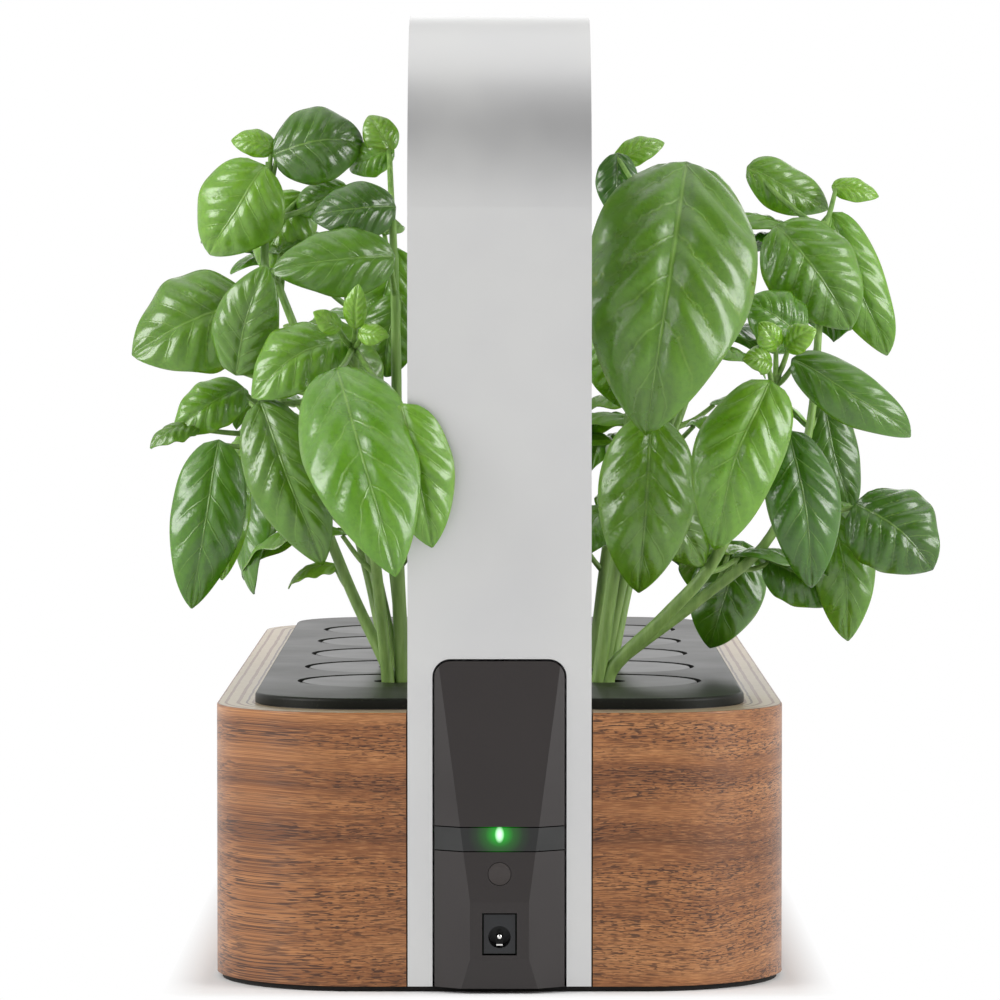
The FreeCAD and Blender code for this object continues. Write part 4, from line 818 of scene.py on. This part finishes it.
def whorl_leaf(node, way, length, level):
    """One leaf of a pair: base, tip, width, bow and the way its face looks."""
    base = node + way * WHORL_GAP + Vector((0, 0, WHORL_GAP_RISE))
    drop = Vector((0, 0, -WHORL_DROP * length + WHORL_LEVEL_RISE * level))
    tip = base + way * length * WHORL_REACH + drop
    facing = (way.x * WHORL_TILT, way.y * WHORL_TILT, 1.0)
    return base, tip, WHORL_WIDTH * length, WHORL_BOW * length, facing


def whorl_leaves(side_name, row, stems):
    """Pairs of leaves up each stem, each pair turned from the one below."""
    leaves = []
    for number, (points, _, _) in enumerate(stems):
        top = points[-1].z - points[0].z
        level = 0
        height = WHORL_LOW + WHORL_STEM_RISE * number
        while height <= top:
            node = nearest_on(points, points[0] + (points[-1] - points[0]) * (height / top))
            length = mixed(*WHORL_LEAF, height / top)
            turn = WHORL_TURN * level + WHORL_STEM_TURN * number
            for half_turn in (0, 180):
                angle = math.radians(turn + half_turn + WHORL_SIDE_TURN * SIDES[side_name])
                way = Vector((math.cos(angle), math.sin(angle), 0))
                if row > 1 or way.y >= FIRST_ROW_BACK:
                    leaves.append(whorl_leaf(node, way, length, level))
            level += 1
            height += WHORL_STEP
    return leaves


def is_clear(leaf):
    """True where a leaf stays out of the arch's path and above the free pod covers."""
    base, tip, width, bow, _ = leaf
    half = width / 2
    for point in (base, tip, (base + tip) * 0.5 + Vector((0, 0, 2 * bow))):
        sideways = abs(point.x)
        at_arch = point.z > ARCH_UNDERSIDE or point.y < half - leg_inner
        in_arch = sideways < arch_half + half / 2 and at_arch
        over_cover = point.y > COVERS_FROM and point.z < OVER_COVERS
        too_far = point.z > HIGHEST_LEAF or sideways > OUTER_LEAF[0] and point.z > OUTER_LEAF[1]
        if in_arch or over_cover or too_far or point.z < LOWEST_LEAF or sideways < MIDDLE_GAP * half:
            return False
    return True


class MeshParts:
    """Points, faces and two leaf maps gathered for one mesh."""

    def __init__(self):
        self.points = []
        self.faces = []
        self.leaf_uv = []
        self.tone_uv = []

    def face(self, corners, places, tone):
        self.faces.append(corners)
        self.leaf_uv.extend(places)
        self.tone_uv.extend([tone] * len(corners))

    def band(self, rings, place, tone, turned=False):
        """Faces from each ring of points to the next. Gives the number of the first point."""
        start = len(self.points)
        wide = len(rings[0])
        for ring in rings:
            self.points.extend(ring)
        for row in range(len(rings) - 1):
            for column in range(wide):
                after = (column + 1) % wide
                corners = [(row, column), (row, after), (row + 1, after), (row + 1, column)]
                if turned:
                    corners.reverse()
                numbers = [start + a * wide + b for a, b in corners]
                self.face(numbers, [place(a, b) for a, b in corners], tone)
        return start

    def build(self, name, material):
        mesh = bpy.data.meshes.new(name)
        mesh.from_pydata([tuple(point * MM) for point in self.points], [], self.faces)
        for uv_name, values in (("leaf", self.leaf_uv), ("tone", self.tone_uv)):
            layer = mesh.uv_layers.new(name=uv_name)
            layer.data.foreach_set("uv", [number for pair in values for number in pair])
        mesh.materials.append(material)
        for polygon in mesh.polygons:
            polygon.use_smooth = True
        mesh.validate()
        piece = bpy.data.objects.new(name, mesh)
        scene.collection.objects.link(piece)
        return piece


# Leaves

LEAF_ROWS = 34
LEAF_COLUMNS = 23

# Thickness and least half width in mm, and the part of the thickness that goes towards the edge
LEAF_SKIN = 0.5
THINNEST_HALF = 0.25
SKIN_TAPER = 0.75

# Depths and heights as shares of a leaf's width
LEAF_CUP = 0.16
LEAF_SWELL = 0.054
EDGE_WAVE = 0.045
MIDRIB_SINK = 0.028

# Width of the midrib's groove as a share of the half width, and lag between the two edges' waves
MIDRIB_WIDTH = 0.10
EDGE_SHIFT = 2.1

# Form of the swells along and across a leaf, and how far inside the edge they end
SWELL_ALONG = 0.7
SWELL_ACROSS = 0.6
SWELL_END = 1.05

# Outline: where it is widest, how full it is on either side of that, and where the twist begins
WIDEST_SHIFT = 0.8
STALK_FULLNESS = 0.62
TIP_FULLNESS = 0.78
TWIST_FROM = 0.3


def leaf_profile(share):
    """Half width of a leaf against its widest, from the stalk at 0 to the tip at 1."""
    share = min(max(share, 0.0), 1.0) ** WIDEST_SHIFT
    fullness = STALK_FULLNESS if share < 0.5 else TIP_FULLNESS
    return (4 * share * (1 - share)) ** fullness


def leaf_traits(width, length, chance):
    """What differs from leaf to leaf, in the order in which it is drawn."""
    return {
        "swell": LEAF_SWELL * width * chance.uniform(0.8, 1.3),
        "waves": chance.uniform(2.0, 3.4),
        "wave_size": EDGE_WAVE * width * chance.uniform(0.5, 1.3),
        "wave_start": chance.uniform(0, 6.28),
        "sway": chance.uniform(-0.05, 0.05) * length,
        "twist": chance.uniform(-0.45, 0.45),
        "tip_curl": chance.uniform(0.02, 0.10) * length,
        "shade": chance.random(),
    }


def leaf_lift(share, across, width, spread, traits):
    """Height over the middle line: swells between veins, a sunk midrib, cupped sides and a waved edge."""
    distance = abs(across)
    full = min(spread, 1.0)
    phase = (share - VEIN_SWEEP * distance ** VEIN_BEND) * LATERAL_VEINS
    between = abs(math.sin(math.pi * phase)) ** SWELL_ALONG
    crest = math.sin(math.pi * min(distance * SWELL_END, 1.0)) ** SWELL_ACROSS
    lift = traits["swell"] * between * crest * full
    lift += MIDRIB_SINK * width * (1 - math.exp(-(distance / MIDRIB_WIDTH) ** 2)) * full
    lift -= LEAF_CUP * width * full ** 2 * distance ** 2
    wave = traits["waves"] * 2 * math.pi * share + traits["wave_start"] + (EDGE_SHIFT if across > 0 else 0)
    return lift + traits["wave_size"] * math.sin(wave) * distance ** 3 * spread


def leaf_rings(base, tip, width, bow, facing, traits):
    """Cross-sections from the stalk to the tip, each along the upper face and back along the lower one."""
    chord = tip - base
    side = chord.cross(Vector(facing)).normalized()
    up = side.cross(chord).normalized()
    middle = (base + tip) * 0.5 + up * (2 * bow)
    rings = []
    for row in range(LEAF_ROWS + 1):
        share = row / LEAF_ROWS
        first = mixed(base, middle, share)
        second = mixed(middle, tip, share)
        normal = side.cross((second - first).normalized()).normalized()
        turned = side + normal * (traits["twist"] * (share - TWIST_FROM) * share)
        spread = leaf_profile(share)
        half = max(width / 2 * spread, THINNEST_HALF)
        sway = side * (traits["sway"] * math.sin(math.pi * share) ** 2)
        centre = mixed(first, second, share) + sway - normal * (traits["tip_curl"] * share ** 5)
        upper = []
        lower = []
        for column in range(LEAF_COLUMNS + 1):
            across = 2 * column / LEAF_COLUMNS - 1
            lift = leaf_lift(share, across, width, spread, traits)
            upper.append(centre + turned * (half * across) + normal * lift)
            lower.append(upper[-1] - normal * (LEAF_SKIN * (1 - SKIN_TAPER * abs(across) ** 4)))
        rings.append(upper + lower[::-1])
    return rings


def add_leaf(parts, leaf, chance, youth):
    """Add a domed leaf, closed at the stalk and at the tip."""
    base, tip, width, bow, facing = leaf
    traits = leaf_traits(width, (tip - base).length, chance)
    tone = (traits["shade"], youth)
    rings = leaf_rings(base, tip, width, bow, facing, traits)
    wide = len(rings[0])

    def place(row, column):
        return row / LEAF_ROWS, min(column, wide - 1 - column) / LEAF_COLUMNS

    start = parts.band(rings, place, tone, turned=True)
    for row in (0, LEAF_ROWS):
        first = start + row * wide
        for k in range(LEAF_COLUMNS):
            corners = [first + n for n in (k, k + 1, wide - 2 - k, wide - 1 - k)]
            if row:
                corners.reverse()
            parts.face(corners, [(row / LEAF_ROWS, 0.5)] * 4, tone)


# Stems and stalks

STEM_STEPS = 8
STEM_SIDES = 12
STALK_STEPS = 5
STALK_SIDES = 8

# Stalks: radii at the stem and the leaf, start below the leaf, reach into it and sag
STALK_RADII = (1.0, 0.7)
STALK_DROP = 12
STALK_REACH = 1.5
STALK_SAG = 1

# What stems and stalks hold in the two leaf maps
UNMAPPED = (0.0, 0.0)
STEM_TONE = (0.5, 0.0)

# Leaves narrower than the first are young, and the others' youth is drawn up to the last
YOUNG_WIDTH = 12
YOUNG_LEAF_YOUTH = 0.55
GROWN_LEAF_YOUTH = 0.35


def smooth_line(points, steps):
    """Points of a smooth curve through a bent line."""
    padded = [points[0] * 2 - points[1]] + list(points) + [points[-1] * 2 - points[-2]]
    line = []
    for k in range(1, len(padded) - 2):
        p0, p1, p2, p3 = padded[k - 1:k + 3]
        for n in range(steps):
            f = n / steps
            slope = (p2 - p0) * f
            bend = (2 * p0 - 5 * p1 + 4 * p2 - p3) * f * f
            line.append(0.5 * (2 * p1 + slope + bend + (3 * p1 - p0 - 3 * p2 + p3) * f ** 3))
    line.append(points[-1].copy())
    return line


def add_tube(parts, points, radii, sides):
    """Round tube along points, closed at both ends; radii holds its first and its last radius."""
    rings = []
    across = None
    for k, point in enumerate(points):
        before = point - points[k - 1] if k else points[1] - point
        after = points[k + 1] - point if k + 1 < len(points) else before
        along = (before.normalized() + after.normalized()).normalized()
        if across is None:
            across = along.cross(Vector((0.3, 1, 0.1))).normalized()
        across = (across - along * across.dot(along)).normalized()
        other = along.cross(across)
        radius = mixed(*radii, k / (len(points) - 1))
        rings.append([
            point + (across * math.cos(angle) + other * math.sin(angle)) * radius
            for angle in (2 * math.pi * n / sides for n in range(sides))
        ])
    start = parts.band(rings, lambda row, column: UNMAPPED, STEM_TONE)
    last = start + (len(rings) - 1) * sides
    parts.face(list(range(start, start + sides))[::-1], [UNMAPPED] * sides, STEM_TONE)
    parts.face(list(range(last, last + sides)), [UNMAPPED] * sides, STEM_TONE)


def add_stalk(parts, stems, base, tip, move):
    """Tube from the nearest stem into a leaf's base."""
    choices = [nearest_on(points, base - Vector((0, 0, STALK_DROP))) for points, _, _ in stems]
    start = min(choices, key=lambda point: (point - base).length)
    end = base + (tip - base).normalized() * STALK_REACH
    middle = (start + end) * 0.5 - Vector((0, 0, STALK_SAG))
    line = smooth_line([start + move, middle + move, end + move], STALK_STEPS)
    add_tube(parts, line, STALK_RADII, STALK_SIDES)


def move_to_pod(side_name, row):
    """From where a plant is drawn to where its pod is in the frame."""
    cover_low, cover_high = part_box(f"pod_cover_{side_name}_{row}")
    middle = (cover_low + cover_high) / 2
    drawn = Vector((*drawn_foot(side_name, row), DRAWN_DECK_TOP))
    return Vector((middle.x, middle.y, deck_high.z)) / MM - drawn


def make_plant(side_name, row, leaf_material, stem_material, chance):
    stems = plant_stems(side_name, row)
    move = move_to_pod(side_name, row)
    shown = [
        (Vector(base), Vector(tip), width, bow, FACINGS[facing])
        for base, tip, width, bow, facing in LEAVES.get((side_name, row), ())
    ]
    filled = [leaf for leaf in whorl_leaves(side_name, row, stems) if is_clear(leaf)]
    leaf_parts = MeshParts()
    stem_parts = MeshParts()
    for points, foot_radius, end_radius in stems:
        line = smooth_line([point + move for point in points], STEM_STEPS)
        add_tube(stem_parts, line, (foot_radius, end_radius), STEM_SIDES)
    for base, tip, width, bow, facing in shown + filled:
        add_stalk(stem_parts, stems, base, tip, move)
        youth = YOUNG_LEAF_YOUTH if width < YOUNG_WIDTH else chance.uniform(0.0, GROWN_LEAF_YOUTH)
        add_leaf(leaf_parts, (base + move, tip + move, width, bow, facing), chance, youth)
    for kind, parts, material, record_slot in (
        ("leaves", leaf_parts, leaf_material, "leaf_green"),
        ("stems", stem_parts, stem_material, "stem_green"),
    ):
        piece = parts.build(f"plant_{kind}_{side_name}_{row}", material)
        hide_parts(f"basil_{kind}_{side_name}_{row}")
        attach(piece, "deck")


CHANCE_SEED = 7


def make_plants():
    leaf_material = leaf_surface()
    stem_material = stem_surface()
    chance = random.Random(CHANCE_SEED)
    for side_name in SIDES:
        for row in range(1, PLANTED_ROWS + 1):
            make_plant(side_name, row, leaf_material, stem_material, chance)


# Studio

FLOOR_HALF = 6.0
FLOOR_GREY = 0.86

# The floor shows its shadow up to the first distance from the garden, and plain white from the second
SHADOW_FADE = (2 * MM, 14 * MM)

# Brightness of the studio by height: 0 is straight down, 0.5 the horizon and 1 straight up
STUDIO_TONES = (
    (0.0, grey(0.9)),
    (0.54, grey(0.84)),
    (0.64, grey(0.58)),
    (0.77, grey(0.34)),
    (0.88, grey(0.08)),
    (0.95, grey(0.22)),
    (1.0, grey(0.56)),
)

# Brightness behind the garden, the width of the change to it, and how much of it all lights dull faces
BACK_TONE = grey(0.74)
BACK_FADE = 0.5
DIFFUSE_LEVEL = 0.70

# Name, place, the point it looks at, width, height and power
LAMPS = (
    ("top_soft", (0.0, 0.5, 2.1), (0, 0, 0.1), 2.2, 2.0, 6),
    ("side_left", (-1.5, -0.7, 0.8), (0, -0.05, 0.12), 0.8, 1.0, 20),
    ("side_right", (1.5, -0.7, 0.7), (0, -0.05, 0.12), 0.8, 1.0, 17.5),
    ("high_left", (-1.1, -1.2, 1.5), (0, -0.1, 0.15), 0.6, 0.6, 3.2),
    ("high_right", (1.2, -1.0, 1.4), (0, -0.1, 0.15), 0.6, 0.6, 2.8),
    ("rear_soft", (0.3, 1.9, 0.9), (0, 0, 0.15), 1.8, 1.0, 6),
)

# Camera, as worked out from the photo: its place before the front plane and its lens
CAMERA_DISTANCE = 1600 * MM
CAMERA_HEIGHT = 202.7 * MM
CAMERA_SIDE = 0.14 * MM
CAMERA_REACH = 50
HORIZON_PIXEL = 285
FOCAL_PIXELS = 5600
PICTURE_SIDE = 1000
SENSOR = 36.0


def floor_material():
    """Pale floor that keeps the shadow near the garden and shows as plain white further out."""
    m = Shader("floor_white")
    m.set(Base_Color=grey(FLOOR_GREY), Roughness=0.9, Specular_IOR_Level=0.1)
    x, y, _ = m.split(m.object_point())
    far = m.span(m.reach(m.past(x, body_half_x), m.past(y, body_half_y)), *SHADOW_FADE)
    rays = m.add("ShaderNodeLightPath").outputs
    seen = m.most(m.most(rays["Is Camera Ray"], rays["Is Glossy Ray"]), rays["Is Transmission Ray"])
    white = m.add("ShaderNodeEmission").outputs[0]
    blend = m.add("ShaderNodeMixShader", {0: m.times(far, seen), 1: m.surface.outputs[0], 2: white})
    m.join(blend.outputs[0], m.tree.nodes["Material Output"].inputs["Surface"])
    return m.material


def make_stage():
    mesh = bpy.data.meshes.new("floor")
    corners = [(FLOOR_HALF * a, FLOOR_HALF * b, 0) for a, b in ((-1, -1), (1, -1), (1, 1), (-1, 1))]
    mesh.from_pydata(corners, [], [(0, 1, 2, 3)])
    mesh.materials.append(floor_material())
    floor = bpy.data.objects.new("floor", mesh)
    scene.collection.objects.link(floor)


def make_world():
    """White for the camera and through clear pieces, and a soft studio for light and reflections."""
    world = bpy.data.worlds.new("studio")
    scene.world = world
    world.use_nodes = True
    m = Nodes(world.node_tree)
    x, y, z = m.split(m.add("ShaderNodeTexCoord").outputs["Generated"])
    front = m.ramp(m.span(z, -1.0, 1.0), STUDIO_TONES)
    behind = m.span(m.plus(m.size(x), y), -BACK_FADE, BACK_FADE)
    rays = m.add("ShaderNodeLightPath").outputs
    level = m.span(rays["Is Glossy Ray"], 0.0, 1.0, DIFFUSE_LEVEL, 1.0)
    studio = m.mix(1.0, m.mix(behind, front, BACK_TONE), level, "MULTIPLY")
    seen = m.most(rays["Is Camera Ray"], rays["Is Transmission Ray"])
    m.join(m.mix(seen, studio, grey(1.0)), m.tree.nodes["Background"].inputs["Color"])


def make_lamps():
    for name, place, target, width, height, power in LAMPS:
        data = bpy.data.lights.new(name, "AREA")
        data.shape = "RECTANGLE"
        data.size = width
        data.size_y = height
        data.energy = power
        lamp = bpy.data.objects.new(name, data)
        lamp.location = place
        lamp.rotation_euler = (Vector(target) - Vector(place)).to_track_quat("-Z", "Y").to_euler()
        scene.collection.objects.link(lamp)


def make_camera():
    data = bpy.data.cameras.new("camera")
    data.sensor_width = SENSOR
    data.lens = SENSOR * FOCAL_PIXELS / PICTURE_SIDE
    data.clip_end = CAMERA_REACH
    camera = bpy.data.objects.new("camera", data)
    camera.location = (CAMERA_SIDE, front_y - CAMERA_DISTANCE, CAMERA_HEIGHT)
    tilt = math.atan((PICTURE_SIDE / 2 - HORIZON_PIXEL) / FOCAL_PIXELS)
    camera.rotation_euler = (math.pi / 2 - tilt, 0, 0)
    scene.collection.objects.link(camera)
    scene.camera = camera


scene.view_settings.view_transform = "Standard"
make_camera()
dress_box()
dress_arch()
dress_panel()
dress_water()
make_plants()
make_stage()
make_world()
make_lamps()
